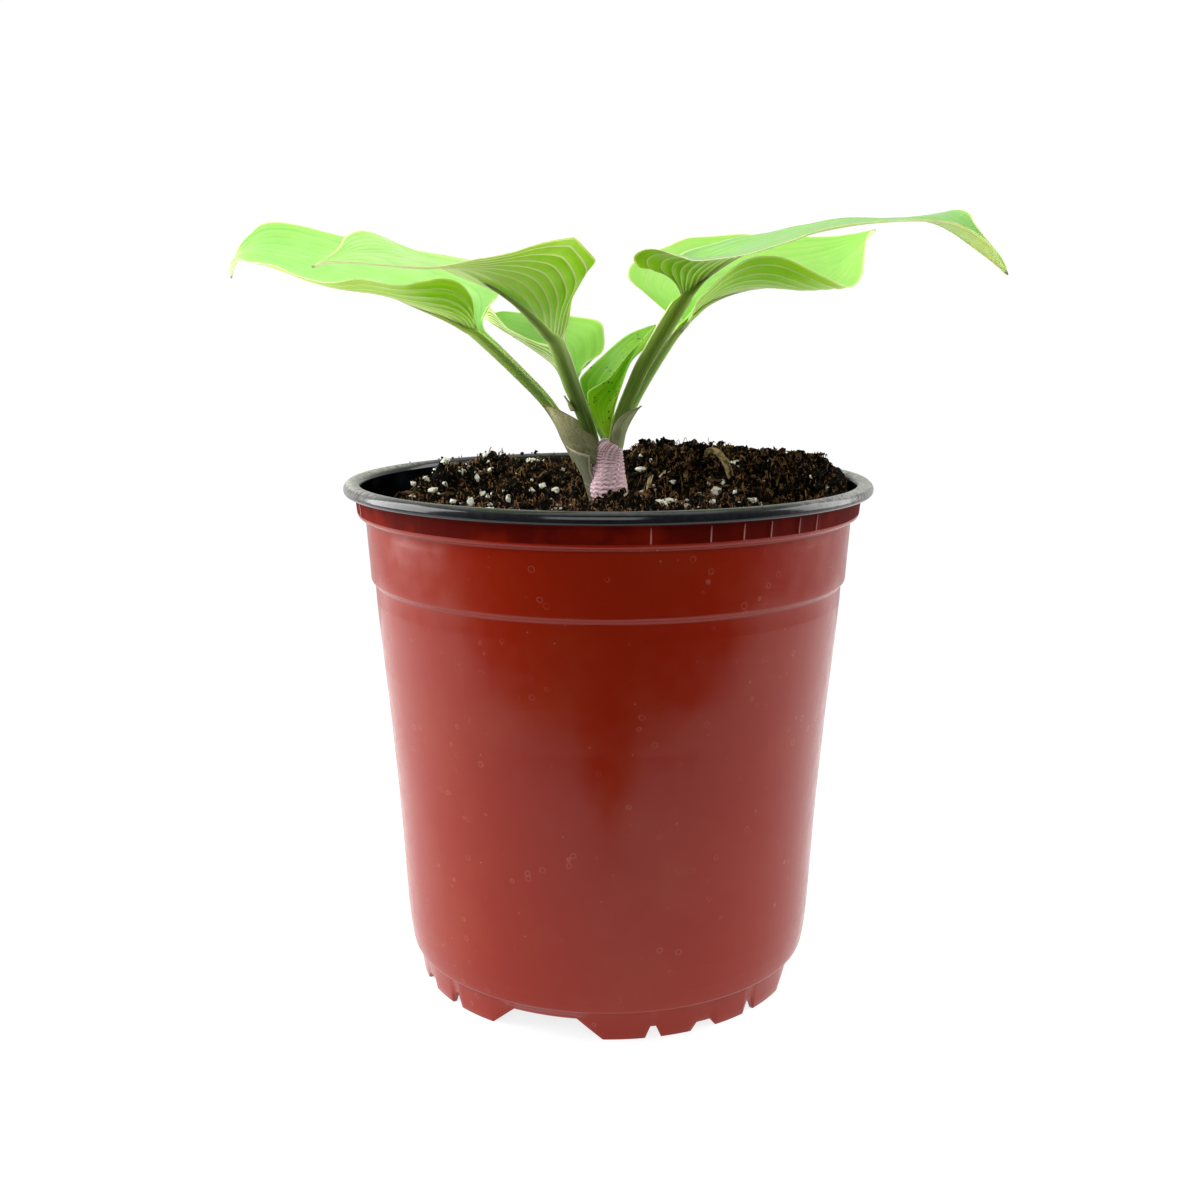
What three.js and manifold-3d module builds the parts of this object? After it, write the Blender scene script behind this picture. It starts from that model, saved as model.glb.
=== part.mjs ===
// Potted hosta: a young hosta in a round nursery pot of potting soil.
// Millimetres, +Z up. The plant and pot are laid out around the pot's axis, with the
// floor at z = 0, and the whole group is then moved so that the origin is the bottom
// centre of its box.
import * as THREE from "three";
import { mergeVertices } from "three/addons/utils/BufferGeometryUtils.js";
import Module from "manifold-3d";

const wasm = await Module();
wasm.setup();
const { Manifold, Mesh } = wasm;

// ---------------------------------------------------------------- driving dimensions
const RIM_RADIUS = 82.5; // outside of the rolled rim
const POT_HEIGHT = 160; // crest of the rim
const FOOT_RADIUS = 61.6; // outside of the foot, on the floor
const WALL = 1.0; // pot wall
const FLOOR_LIFT = 9; // underside of the raised floor
const SEAT_GAP = 0.3; // gap between pieces that touch
const POT_SIDES = 48; // facets round the pot
const SOIL_LEVEL = 150; // open soil round the plant
const SOIL_STEP = 8; // spacing of the soil's surface grid
const BLADE = 0.9; // leaf thickness
const BLADE_ROWS = 12; // rows from a leaf's base to its tip
const BLADE_COLUMNS = 4; // columns from a leaf's midrib to its margin
const STALK_SIDES = 6;
const STALK_STEPS = 16;

// Outside of the pot wall from the foot to the rim, as radius and height.
const POT_OUTSIDE = [
  [FOOT_RADIUS, 0],
  [62.7, 8.9],
  [64.1, 9.7],
  [64.9, 12.5],
  [66.05, 23],
  [67.5, 50],
  [69.5, 78],
  [71.65, 103],
  [73.5, 128.4],
  [74.6, 129.7],
  [75.1, 135.5],
  [75.8, 148.9],
  [77.8, 149.4],
  [78.4, 150.8],
  [79, 156.2],
];
const FLOOR_CORNER = 3; // where in POT_OUTSIDE the inside of the wall begins
const COLLAR_FOOT = 11; // and where the collar steps out, with the soil's side below it

// Rolled rim, from its outer lower edge over the crest to the inside.
const POT_RIM = [
  [RIM_RADIUS - 0.5, 156.4],
  [RIM_RADIUS, 158],
  [RIM_RADIUS - 0.9, 159.5],
  [80, POT_HEIGHT],
  [77.8, 159.6],
  [77, 158.4],
];
const RIM_THICKENING = 1; // extra wall just under the rim

// Notches through the foot's skirt. Each of the four quarters starts at a bearing in
// degrees from the front towards the right; a notch stands at a share of its quarter,
// spans so many degrees at the floor and at its top, and is so high.
const QUARTERS = [-110, -18.1, 76.3, 163];
const NOTCHES = [
  { share: 0, bottomSpan: 33, topSpan: 18.5, height: 6.4 },
  { share: 0.323, bottomSpan: 4.6, topSpan: 1.6, height: 3.6 },
  { share: 0.484, bottomSpan: 8.2, topSpan: 4.4, height: 2.5 },
  { share: 0.66, bottomSpan: 4.6, topSpan: 1.6, height: 3.6 },
];
const NOTCH_DEPTH = 24; // radial length of a notch's cutter
const NOTCH_START = 16; // how far inside the foot it begins

const DRAIN_HOLES = 6;
const DRAIN_RADIUS = 5;
const DRAIN_RING = 38; // distance of the drain holes from the axis
const DRAIN_SIDES = 16;

// ---------------------------------------------------------------- small helpers
const v3 = (p) => new THREE.Vector3(p[0], p[1], p[2]);

// A smooth curve through the listed points.
function curveThrough(points) {
  const vectors = points.map((p) => (p.isVector3 ? p : v3(p)));
  return new THREE.CatmullRomCurve3(vectors, false, "catmullrom", 0.5);
}

// A value that runs smoothly through evenly spaced stations, for t from 0 to 1.
function atStation(values, t) {
  const place = THREE.MathUtils.clamp(t, 0, 1) * (values.length - 1);
  const index = Math.min(Math.floor(place), values.length - 2);
  return THREE.MathUtils.lerp(values[index], values[index + 1], place - index);
}

// A closed mesh from vertices and triangles.
function geometryOf(positions, triangles) {
  const geometry = new THREE.BufferGeometry();
  geometry.setAttribute("position", new THREE.Float32BufferAttribute(positions, 3));
  geometry.setIndex(triangles);
  return geometry;
}

// The solid of a closed three.js geometry.
function solidOf(geometry) {
  const bare = geometry.clone();
  bare.deleteAttribute("normal");
  bare.deleteAttribute("uv");
  const merged = mergeVertices(bare, 1e-4);
  const vertProperties = new Float32Array(merged.getAttribute("position").array);
  const triVerts = new Uint32Array(merged.getIndex().array);
  return new Manifold(new Mesh({ numProp: 3, vertProperties, triVerts }));
}

// The three.js geometry of a solid.
function geometryFrom(solid) {
  const mesh = solid.getMesh();
  return geometryOf(Array.from(mesh.vertProperties), Array.from(mesh.triVerts));
}

// A solid through a stack of closed rings with the same number of points, capped at
// both ends. Rings run counter-clockwise as seen looking back along the stack.
function loft(rings) {
  const sides = rings[0].length;
  const positions = [];
  const triangles = [];
  rings.flat().forEach((p) => positions.push(p.x, p.y, p.z));
  for (let row = 0; row < rings.length - 1; row += 1) {
    for (let side = 0; side < sides; side += 1) {
      const next = (side + 1) % sides;
      const a = row * sides + side;
      const b = row * sides + next;
      triangles.push(a, b, b + sides, a, b + sides, a + sides);
    }
  }
  [0, rings.length - 1].forEach((row, end) => {
    const centre = new THREE.Vector3();
    rings[row].forEach((p) => centre.add(p));
    centre.divideScalar(sides);
    const hub = positions.length / 3;
    positions.push(centre.x, centre.y, centre.z);
    for (let side = 0; side < sides; side += 1) {
      const a = row * sides + side;
      const b = row * sides + ((side + 1) % sides);
      triangles.push(...(end === 0 ? [hub, b, a] : [hub, a, b]));
    }
  });
  return geometryOf(positions, triangles);
}

// A round tapering stem along a curve; radii are evenly spaced stations along it. The
// ring's frame is carried from step to step, so the stem doesn't twist.
function stem(path, radii, sides, steps) {
  const rings = [];
  const across = new THREE.Vector3(0.8, 0.6, 0);
  for (let step = 0; step <= steps; step += 1) {
    const t = step / steps;
    const centre = path.getPointAt(t);
    const ahead = path.getTangentAt(t);
    across.addScaledVector(ahead, -across.dot(ahead)).normalize();
    const over = new THREE.Vector3().crossVectors(ahead, across);
    const radius = atStation(radii, t);
    rings.push(Array.from({ length: sides }, (_, side) => {
      const angle = (2 * Math.PI * side) / sides;
      const point = centre.clone().addScaledVector(across, radius * Math.cos(angle));
      return point.addScaledVector(over, radius * Math.sin(angle));
    }));
  }
  return loft(rings);
}

// A small lump: a faceted ball stretched to its half sizes, turned and moved.
function lump(halfSizes, turn, place, grow = 0) {
  const ball = new THREE.IcosahedronGeometry(1, 0);
  ball.scale(halfSizes[0] + grow, halfSizes[1] + grow, halfSizes[2] + grow);
  ball.rotateX(turn[0]);
  ball.rotateZ(turn[1]);
  ball.translate(place[0], place[1], place[2]);
  return ball;
}

// ---------------------------------------------------------------- pot
// Profile of the pot's section, closed: outside, rolled rim, inside, raised floor.
function potProfile() {
  const outside = POT_OUTSIDE.map(([r, z]) => new THREE.Vector2(r, z));
  const rim = POT_RIM.map(([r, z]) => new THREE.Vector2(r, z));
  const last = POT_OUTSIDE.length - 1;
  const inside = POT_OUTSIDE.map(([r, z], index) => (
    new THREE.Vector2(r - WALL - (index === last ? RIM_THICKENING : 0), z)
  ))
    .slice(FLOOR_CORNER)
    .reverse();
  const floorTop = FLOOR_LIFT + WALL;
  const floor = [
    [FOOT_RADIUS - 1, floorTop],
    [0, floorTop],
    [0, FLOOR_LIFT],
    [FOOT_RADIUS - WALL - 1.5, FLOOR_LIFT],
    [FOOT_RADIUS - 2 * WALL, 0],
  ].map(([r, z]) => new THREE.Vector2(r, z));
  return [...outside, ...rim, ...inside, ...floor, outside[0]];
}

// A cutter through the foot's skirt, centred at a bearing from the front.
function footNotch(bearing, { bottomSpan, topSpan, height }) {
  const half = THREE.MathUtils.degToRad(bottomSpan / 2) * FOOT_RADIUS;
  const top = THREE.MathUtils.degToRad(topSpan / 2) * FOOT_RADIUS;
  const shape = new THREE.Shape();
  shape.moveTo(-half, -1);
  shape.lineTo(half, -1);
  shape.lineTo(top, height);
  shape.lineTo(-top, height);
  const cutter = new THREE.ExtrudeGeometry(shape, { depth: NOTCH_DEPTH, bevelEnabled: false });
  cutter.rotateX(Math.PI / 2);
  cutter.translate(0, NOTCH_START - FOOT_RADIUS, 0);
  cutter.rotateZ(THREE.MathUtils.degToRad(bearing));
  return solidOf(cutter);
}

// A drill through the floor, at an angle round the pot.
function drainHole(angle) {
  const drill = new THREE.CylinderGeometry(DRAIN_RADIUS, DRAIN_RADIUS, 6 * WALL, DRAIN_SIDES);
  drill.rotateX(Math.PI / 2);
  drill.translate(0, DRAIN_RING, FLOOR_LIFT);
  drill.rotateZ(angle);
  return solidOf(drill);
}

function pot() {
  const turned = new THREE.LatheGeometry(potProfile(), POT_SIDES);
  turned.rotateX(Math.PI / 2);
  let solid = solidOf(turned);
  QUARTERS.forEach((start, quarter) => {
    const stop = quarter + 1 < QUARTERS.length ? QUARTERS[quarter + 1] : QUARTERS[0] + 360;
    NOTCHES.forEach((notch) => {
      solid = solid.subtract(footNotch(start + notch.share * (stop - start), notch));
    });
  });
  for (let hole = 0; hole < DRAIN_HOLES; hole += 1) {
    solid = solid.subtract(drainHole((2 * Math.PI * hole) / DRAIN_HOLES));
  }
  return solid;
}

// ---------------------------------------------------------------- plant
// Each leaf is one grown piece: a stalk that runs on under the blade as its midrib.
// stalk and rib are points on smooth curves. stalkRadii run evenly from the stalk's
// foot to where the blade begins. A margin is lofted through stations, each giving how
// far along the rib it stands (as a part of the rib's length), how far out to that
// side, and how far it rises above the rib. Left and right are as seen from the
// leaf's foot looking to its tip.
const LEAVES = {
  leaf_left: {
    stalk: [[-1.8, 7, 150.5], [-4.2, 6.4, 158], [-11.2, 5.5, 170], [-18.5, 6, 182], [-28, 8, 192],
      [-41, 12, 204]],
    stalkRadii: [1.6, 1.8, 2.1, 2.1, 2.2, 2.4],
    rib: [[-41, 12, 204], [-50, 13, 209], [-61, 15, 213], [-72, 18, 217], [-90, 23, 221],
      [-105, 27, 226], [-115, 30, 229], [-122, 32, 227], [-123, 33, 222]],
    left: [[0, 2, 2], [-0.02, 11, 10], [-0.01, 18, 15], [0.03, 23, 15], [0.1, 26, 11],
      [0.19, 27, 7], [0.31, 28, 5], [0.43, 28, 1], [0.55, 25, 1], [0.66, 20, 1],
      [0.81, 11, -2], [0.89, 4, -2], [1, 0, 0]],
    right: [[-0.01, 2, 2], [0, 8, 8], [-0.01, 17, 12], [0.02, 27, 18], [0.11, 33, 18],
      [0.25, 35, 16], [0.44, 32, 14], [0.65, 26, 13], [0.79, 20, 12], [0.88, 15, 11],
      [0.92, 10, 8], [0.95, 5, 5], [1, 0, 0]],
    belly: 3.2,
    colour: "#8fd65a",
  },
  leaf_front: {
    stalk: [[-1.6, 3, 150], [-2.8, 3, 160], [-4.6, 2.6, 169], [-5.8, 1.2, 174], [-7.4, -1, 178.5],
      [-10.5, -5, 187], [-16, -11, 202]],
    stalkRadii: [1.5, 1.6, 2, 2.1, 2.2, 2.4, 2.6],
    rib: [[-16, -11, 202], [-25, -20, 210], [-35, -31, 217], [-43, -41, 222], [-55, -54, 224],
      [-66, -67, 225], [-76, -76, 222]],
    left: [[-0.02, 2, 1], [-0.03, 3, 6], [-0.03, 5, 14], [-0.03, 9, 19], [0, 16, 23],
      [0.16, 20, 22], [0.33, 23, 13], [0.51, 22, 3], [0.71, 20, -2], [0.82, 17, -3],
      [0.93, 12, -1], [0.99, 5, 1], [1, 0, 0]],
    right: [[-0.01, 2, 1], [-0.02, 8, 11], [-0.03, 15, 19], [0.01, 23, 23], [0.11, 28, 19],
      [0.22, 29, 15], [0.36, 30, 11], [0.51, 28, 9], [0.65, 21, 9], [0.77, 14, 6],
      [0.87, 6, 2], [1, 0, 0]],
    belly: 3.2,
    colour: "#7fb833",
  },
  leaf_right: {
    stalk: [[2.6, 1.6, 150], [1.8, 1.2, 160], [1.3, 0.8, 168], [2.3, 0.5, 174], [5, 0.4, 180],
      [9.5, -1, 189], [13, -2, 196], [22, -4, 214]],
    stalkRadii: [1.5, 1.5, 1.7, 2.3, 2.6, 2.8, 2.9, 3],
    rib: [[22, -4, 214], [27, -6, 219], [31, -8, 222], [41, -12, 227], [56, -18, 232],
      [69, -22, 234], [83, -27, 235], [94, -30, 234], [106, -33, 227], [113, -35, 221]],
    left: [[0.01, 3, -1], [0.01, 9, 9], [-0.04, 13, 14], [0, 18, 17], [0.08, 22, 13],
      [0.15, 25, 11], [0.25, 28, 8], [0.34, 29, 7], [0.47, 29, 6], [0.6, 28, 4],
      [0.72, 24, 4], [0.8, 18, 7], [0.85, 12, 8], [0.88, 7, 6], [0.97, 1, 3], [1, 0, 0]],
    right: [[0, 2, 1], [0.01, 5, 4], [-0.01, 14, 10], [-0.05, 23, 12], [-0.05, 28, 13],
      [-0.02, 31, 14], [0.04, 33, 11], [0.12, 33, 4], [0.18, 33, 0], [0.3, 31, -3],
      [0.41, 28, -3], [0.5, 25, -1], [0.59, 21, 0], [0.7, 16, 0], [0.77, 13, 1],
      [0.84, 10, 3], [0.93, 5, 4], [1, 0, 0]],
    belly: 2.5,
    colour: "#9ed77a",
  },
  leaf_back: {
    stalk: [[3.4, 6.8, 150], [3.2, 7, 160], [3.4, 7.4, 171], [8, 8, 182], [16.5, 9, 199],
      [21, 10, 207]],
    stalkRadii: [1.4, 1.5, 1.7, 1.8, 1.9, 2],
    rib: [[21, 10, 207], [30, 14, 214], [43, 21, 218], [57, 32, 220], [72, 43, 224],
      [83, 52, 230], [93, 60, 239]],
    left: [[-0.01, 3, 2], [-0.02, 8, 6], [-0.04, 13, 11], [-0.05, 18, 16], [-0.01, 21, 19],
      [0.09, 26, 17], [0.19, 29, 16], [0.29, 30, 17], [0.41, 29, 17], [0.54, 27, 16],
      [0.7, 24, 12], [0.85, 16, 6], [0.94, 8, 2], [1, 0, 0]],
    right: [[0, 3, 0], [0, 7, 6], [0.04, 10, 8], [0.1, 11, 9], [0.19, 13, 11], [0.3, 17, 9],
      [0.44, 22, 2], [0.55, 23, -3], [0.66, 19, -2], [0.78, 11, 3], [0.89, 4, 4], [1, 0, 0]],
    belly: 3,
    colour: "#a4e060",
  },
  leaf_small: {
    stalk: [[-1.5, 10.5, 150], [-3, 10, 158], [-5.6, 10.5, 169], [-8.6, 11.4, 179], [-12, 12, 186]],
    stalkRadii: [1.2, 1.3, 1.4, 1.5, 1.6],
    rib: [[-12, 12, 186], [-16, 16, 193], [-21, 21, 197], [-29, 27, 202], [-36, 32, 206],
      [-41, 37, 209]],
    left: [[-0.02, 2, 1], [0, 5, 8], [0.1, 6, 10], [0.3, 6, 6], [0.46, 7, 5], [0.64, 6, 4],
      [0.78, 4, 5], [0.91, 2, 5], [1, 0, 0]],
    right: [[-0.02, 2, 1], [-0.01, 4, 5], [-0.02, 7, 9], [-0.05, 13, 12], [-0.01, 16, 18],
      [0.11, 17, 18], [0.41, 15, 12], [0.6, 14, 9], [0.8, 12, 5], [0.95, 6, 3], [1, 0, 0]],
    belly: 1.5,
    colour: "#6cc25a",
  },
  leaf_young: {
    stalk: [[0.8, 5.2, 150], [0.6, 5.2, 160], [-0.6, 4.8, 171]],
    stalkRadii: [1.2, 1.3, 1.5],
    rib: [[-0.6, 4.8, 171], [1, 3.8, 180], [4, 3.2, 189], [7, 4, 196], [12, 6, 201], [15, 10, 207]],
    left: [[0.02, 2, 0], [-0.1, 6, 9], [-0.13, 9, 17], [-0.11, 10, 20], [0.35, 13, 12],
      [0.72, 11, 5], [0.91, 5, 2], [1, 0, 0]],
    right: [[-0.04, 2, 1], [-0.13, 3, 8], [-0.18, 4, 15], [-0.11, 7, 18], [-0.03, 9, 21],
      [0.5, 7, 8], [0.75, 3, 4], [1, 0, 0]],
    belly: 1.2,
    colour: "#62a82a",
  },
};

const FAN = 1.5; // how closely a blade's rows crowd together at its foot
const TIP_STOP = 0.985; // the blade ends in a blunt tip of real width
const FULL_BELLY_BREADTH = 25; // breadth of a half blade from which it bellies fully
const RIB_SHARES = [0.08, 0.2, 0.34]; // where the stalk passes on under the blade
const RIB_RADII = [1.8, 1.3, 0.8]; // and its radius there

// Points of a leaf's margin on one side (1 for right, -1 for left).
function marginCurve(rib, stations, side) {
  const heading = rib.getPoint(1).sub(rib.getPoint(0)).setZ(0);
  heading.normalize();
  const sideways = new THREE.Vector3(heading.y, -heading.x, 0).multiplyScalar(side);
  const points = stations.map(([along, out, rise]) => {
    const foot = rib.getPointAt(Math.max(along, 0));
    foot.addScaledVector(heading, Math.min(along, 0) * rib.getLength());
    foot.addScaledVector(sideways, out);
    foot.z += rise;
    return foot;
  });
  return curveThrough(points);
}

// The blade's straight-lined middle surface, row by row, from its left margin over the
// rib to its right margin, and how far each point bellies downwards: four times belly
// times v times (1 - v), where v is 0 at the rib and 1 outside.
function bladeRows(leaf) {
  const rib = curveThrough(leaf.rib);
  const left = marginCurve(rib, leaf.left, -1);
  const right = marginCurve(rib, leaf.right, 1);
  const rows = [];
  const sags = [];
  for (let row = 0; row <= BLADE_ROWS; row += 1) {
    const u = (TIP_STOP * row) / BLADE_ROWS;
    const spine = rib.getPointAt(u ** FAN);
    const ends = [left.getPointAt(u), right.getPointAt(u)];
    const line = [];
    const sagLine = [];
    for (let column = -BLADE_COLUMNS; column <= BLADE_COLUMNS; column += 1) {
      const v = Math.abs(column) / BLADE_COLUMNS;
      const end = ends[column < 0 ? 0 : 1];
      const breadth = spine.distanceTo(end);
      line.push(spine.clone().lerp(end, v));
      sagLine.push(4 * v * (1 - v) * leaf.belly * Math.min(1, breadth / FULL_BELLY_BREADTH));
    }
    rows.push(line);
    sags.push(sagLine);
  }
  return { rows, sags };
}

// The upward normal at each point of the blade.
function bladeNormals(rows) {
  const last = rows.length - 1;
  return rows.map((line, row) => line.map((point, column) => {
    const ahead = rows[Math.min(row + 1, last)][column].clone();
    ahead.sub(rows[Math.max(row - 1, 0)][column]);
    const across = line[Math.min(column + 1, line.length - 1)].clone();
    across.sub(line[Math.max(column - 1, 0)]);
    return across.cross(ahead).normalize();
  }));
}

// The blade as a closed shell, half its thickness above and below its middle surface.
function bladeSolid(leaf) {
  const { rows, sags } = bladeRows(leaf);
  const normals = bladeNormals(rows);
  const middle = rows.map((line, row) => line.map((point, column) => (
    point.clone().addScaledVector(normals[row][column], -sags[row][column])
  )));
  const rings = middle.map((line, row) => {
    const top = line.map((p, i) => p.clone().addScaledVector(normals[row][i], BLADE / 2));
    const under = line.map((p, i) => p.clone().addScaledVector(normals[row][i], -BLADE / 2));
    return [...top, ...under.reverse()];
  });
  return solidOf(stripLoft(rings));
}

// As loft, but each end is closed by a strip between the two halves of its ring.
function stripLoft(rings) {
  const sides = rings[0].length;
  const half = sides / 2;
  const positions = [];
  const triangles = [];
  rings.flat().forEach((p) => positions.push(p.x, p.y, p.z));
  for (let row = 0; row < rings.length - 1; row += 1) {
    for (let side = 0; side < sides; side += 1) {
      const next = (side + 1) % sides;
      const a = row * sides + side;
      const b = row * sides + next;
      triangles.push(a, b, b + sides, a, b + sides, a + sides);
    }
  }
  const end = (rings.length - 1) * sides;
  for (let i = 0; i < half - 1; i += 1) {
    const opposite = sides - 1 - i;
    triangles.push(i, opposite, opposite - 1, i, opposite - 1, i + 1);
    triangles.push(end + i, end + opposite - 1, end + opposite);
    triangles.push(end + i, end + i + 1, end + opposite - 1);
  }
  return geometryOf(positions, triangles);
}

// Stalk and midrib as one tapering stem, ending part of the way along the blade.
function stalkSolid(leaf) {
  const rib = curveThrough(leaf.rib);
  const along = RIB_SHARES.map((t) => rib.getPointAt(t));
  const path = curveThrough([...leaf.stalk.map(v3), ...along]);
  const radii = [...leaf.stalkRadii, ...RIB_RADII];
  return solidOf(stem(path, radii, STALK_SIDES, STALK_STEPS));
}

function leafSolid(leaf) {
  return stalkSolid(leaf).add(bladeSolid(leaf));
}

// A dry scale or sheath: a thin curved sheet that wraps part of the way round a stalk.
// Each station gives the centre of its arc, the arc's radius, and the two angles in
// degrees between which it runs, counted from the front towards the right.
const SCALES = {
  sheath_front: {
    stations: [
      { centre: [1.5, 2.2, 150], radius: 5.3, from: -104, to: 104 },
      { centre: [0, 2, 157], radius: 5.8, from: -84, to: 96 },
      { centre: [0, 2, 163], radius: 5.2, from: -78, to: 80 },
      { centre: [-0.6, 2, 168], radius: 4.4, from: -72, to: 50 },
      { centre: [-1.3, 1.4, 172], radius: 3.4, from: -40, to: 20 },
    ],
    colour: "#9a6f85",
  },
  sheath_left: {
    stations: [
      { centre: [-2, 5.5, 150], radius: 4, from: -125, to: -45 },
      { centre: [-4, 5.2, 158], radius: 4.8, from: -120, to: -38 },
      { centre: [-6.2, 4.9, 163], radius: 5.5, from: -115, to: -14 },
      { centre: [-8.2, 4.2, 168], radius: 6, from: -105, to: 10 },
    ],
    colour: "#7d7f66",
  },
  scale_left: {
    stations: [
      { centre: [-6.9, 5, 164], radius: 4, from: -90, to: 20 },
      { centre: [-8.8, 4, 170], radius: 5.3, from: -88, to: 40 },
      { centre: [-12, 4.4, 175], radius: 4.7, from: -86, to: 33 },
      { centre: [-16.5, 5.2, 180], radius: 3.6, from: -80, to: 15 },
      { centre: [-18.6, 5.4, 182.4], radius: 3.2, from: -66, to: -30 },
    ],
    colour: "#a08a68",
  },
  scale_right: {
    stations: [
      { centre: [2, 1.6, 157], radius: 2.2, from: 70, to: 150 },
      { centre: [1.5, 1.1, 166], radius: 2.4, from: 78, to: 150 },
      { centre: [1.9, 0.6, 172], radius: 3.1, from: 10, to: 140 },
      { centre: [3.4, 0.4, 176], radius: 3.3, from: -22, to: 125 },
      { centre: [5.2, 0.3, 180], radius: 3.6, from: 8, to: 105 },
      { centre: [7, 0.2, 183], radius: 4, from: 50, to: 78 },
    ],
    colour: "#8f9a80",
  },
  scale_green: {
    stations: [
      { centre: [-7.8, -1.6, 180], radius: 3.2, from: -108, to: -60 },
      { centre: [-9, -3.2, 183.4], radius: 3.3, from: -112, to: -56 },
      { centre: [-10.2, -4.6, 185.6], radius: 3.8, from: -100, to: -72 },
    ],
    colour: "#87935a",
  },
};
const SCALE_THICKNESS = 0.7;
const SCALE_FACETS = 6;
const SCALE_ROWS = 6;

function scaleSolid(scale, grow = 0) {
  const stations = scale.stations;
  const path = curveThrough(stations.map((station) => station.centre));
  const along = (key, t) => atStation(stations.map((station) => station[key]), t);
  const rings = [];
  for (let row = 0; row <= SCALE_ROWS; row += 1) {
    const t = row / SCALE_ROWS;
    const centre = path.getPoint(t);
    centre.z += grow * (2 * t - 1);
    const radius = along("radius", t);
    const spare = THREE.MathUtils.radToDeg(grow / radius);
    const start = along("from", t) - spare;
    const sweep = along("to", t) + spare - start;
    const arc = (r) => Array.from({ length: SCALE_FACETS + 1 }, (_, i) => {
      const angle = THREE.MathUtils.degToRad(start + (sweep * i) / SCALE_FACETS);
      return new THREE.Vector3(r * Math.sin(angle), -r * Math.cos(angle), 0).add(centre);
    });
    const half = SCALE_THICKNESS / 2 + grow;
    rings.push([...arc(radius + half), ...arc(radius - half).reverse()]);
  }
  return solidOf(stripLoft(rings));
}

// ---------------------------------------------------------------- crown and roots
const CROWN = [0.5, 5]; // where the crown stands
const CROWN_TOP = SOIL_LEVEL - SEAT_GAP;
const ROOTS = 9;
const WELL_RADIUS = 9.4; // shallow well in the soil that the shoots stand in
const WELL_HEIGHT = 30;

function crownSolid(grow = 0) {
  const profile = [[0, 126], [5, 127.5], [8, 134], [8.6, 142], [8.4, CROWN_TOP], [0, CROWN_TOP]];
  const middle = 138;
  const points = profile.map(([r, z]) => new THREE.Vector2(
    r === 0 ? 0 : r + grow,
    z + Math.sign(z - middle) * grow,
  ));
  const body = new THREE.LatheGeometry(points, 18);
  body.rotateX(Math.PI / 2);
  body.translate(CROWN[0], CROWN[1], 0);
  let solid = solidOf(body);
  for (let root = 0; root < ROOTS; root += 1) {
    const angle = (2 * Math.PI * root) / ROOTS + 0.25 * Math.sin(5 * root);
    const reach = 34 + 9 * Math.sin(2.3 * root);
    const fall = 62 + 14 * Math.cos(1.7 * root);
    const route = [[3, 139], [9, 137], [0.45 * reach, 130], [0.8 * reach, 112], [reach, 139 - fall]];
    const path = curveThrough(route.map(([r, z]) => [
      CROWN[0] + r * Math.cos(angle),
      CROWN[1] + r * Math.sin(angle),
      z,
    ]));
    const radii = [1.9, 1.7, 1.4, 1.1, 0.8].map((r) => r + grow);
    solid = solid.add(solidOf(stem(path, radii, 5, 7)));
  }
  return solid;
}

// ---------------------------------------------------------------- soil
const smooth = (value, low, high) => THREE.MathUtils.smoothstep(value, low, high);

const MOUND_HEIGHT = 14;
const RISE_HEIGHT = 8;

// Height of the soil at a place: level in front, a mound behind and to the right, a
// lower rise behind and to the left, both falling off towards the pot's wall.
function soilHeight(x, y) {
  const moundFoot = 16 - 0.3 * (x - 10);
  const mound = MOUND_HEIGHT * smooth(x, 0, 12) * smooth(y, moundFoot - 6, moundFoot + 12);
  const rise = RISE_HEIGHT * smooth(-x, 5, 30) * smooth(y, 0, 30);
  const nearWall = 1 - 0.6 * smooth(Math.hypot(x, y), 58, 74);
  return SOIL_LEVEL + 1 + (mound + rise) * nearWall + 0.6 * Math.sin(x / 7 + 1) * Math.cos(y / 6);
}

// Loose pieces that lie half sunk in the soil: place, half sizes and how they turn.
const PERLITE = [
  [-57, 27, 1.3], [-61, 5, 1.2], [-57, 12, 1.3], [-43, -20, 1.8], [-36, -17, 1.6],
  [-39, 26, 1.3], [-26, 44, 2], [-17, 12, 1.3], [11, 21, 1.5], [20, 5, 1.9],
  [16, -6, 1.9], [35, 8, 1.6], [41, 14, 1.8], [38, -4, 1.2], [47, 29, 1.5], [65, 3, 1.3],
];
const BARK = [[-64, 14, 3], [-52, 10, 2.4], [-41, 24, 2.2], [56, 20, 2.6], [-8, -30, 2.6]];
const STRAW = [[13, 15, 5, 78], [17, 17, 4, 40]];
const TUFT = [33, 18];

function perlite(index, grow = 0) {
  const [x, y, size] = PERLITE[index];
  const halfSizes = [size * 1.15, size, size * 0.85];
  const turn = [0.7 * index, 1.9 * index];
  return solidOf(lump(halfSizes, turn, [x, y, soilHeight(x, y) + 0.3 * size], grow));
}

function bark(index, grow = 0) {
  const [x, y, size] = BARK[index];
  const halfSizes = [size, 0.6 * size, 0.35 * size];
  return solidOf(lump(halfSizes, [0.4, 2.1 * index], [x, y, soilHeight(x, y) + 0.3], grow));
}

function straw(index, grow = 0) {
  const [x, y, length, lean] = STRAW[index];
  const foot = new THREE.Vector3(x, y, soilHeight(x, y) - 1);
  const tilt = THREE.MathUtils.degToRad(lean);
  const ahead = new THREE.Vector3(Math.cos(tilt), 0, Math.sin(tilt));
  const path = curveThrough([foot, foot.clone().addScaledVector(ahead, length)]);
  return solidOf(stem(path, [0.5 + grow, 0.35 + grow], 5, 2));
}

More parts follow.
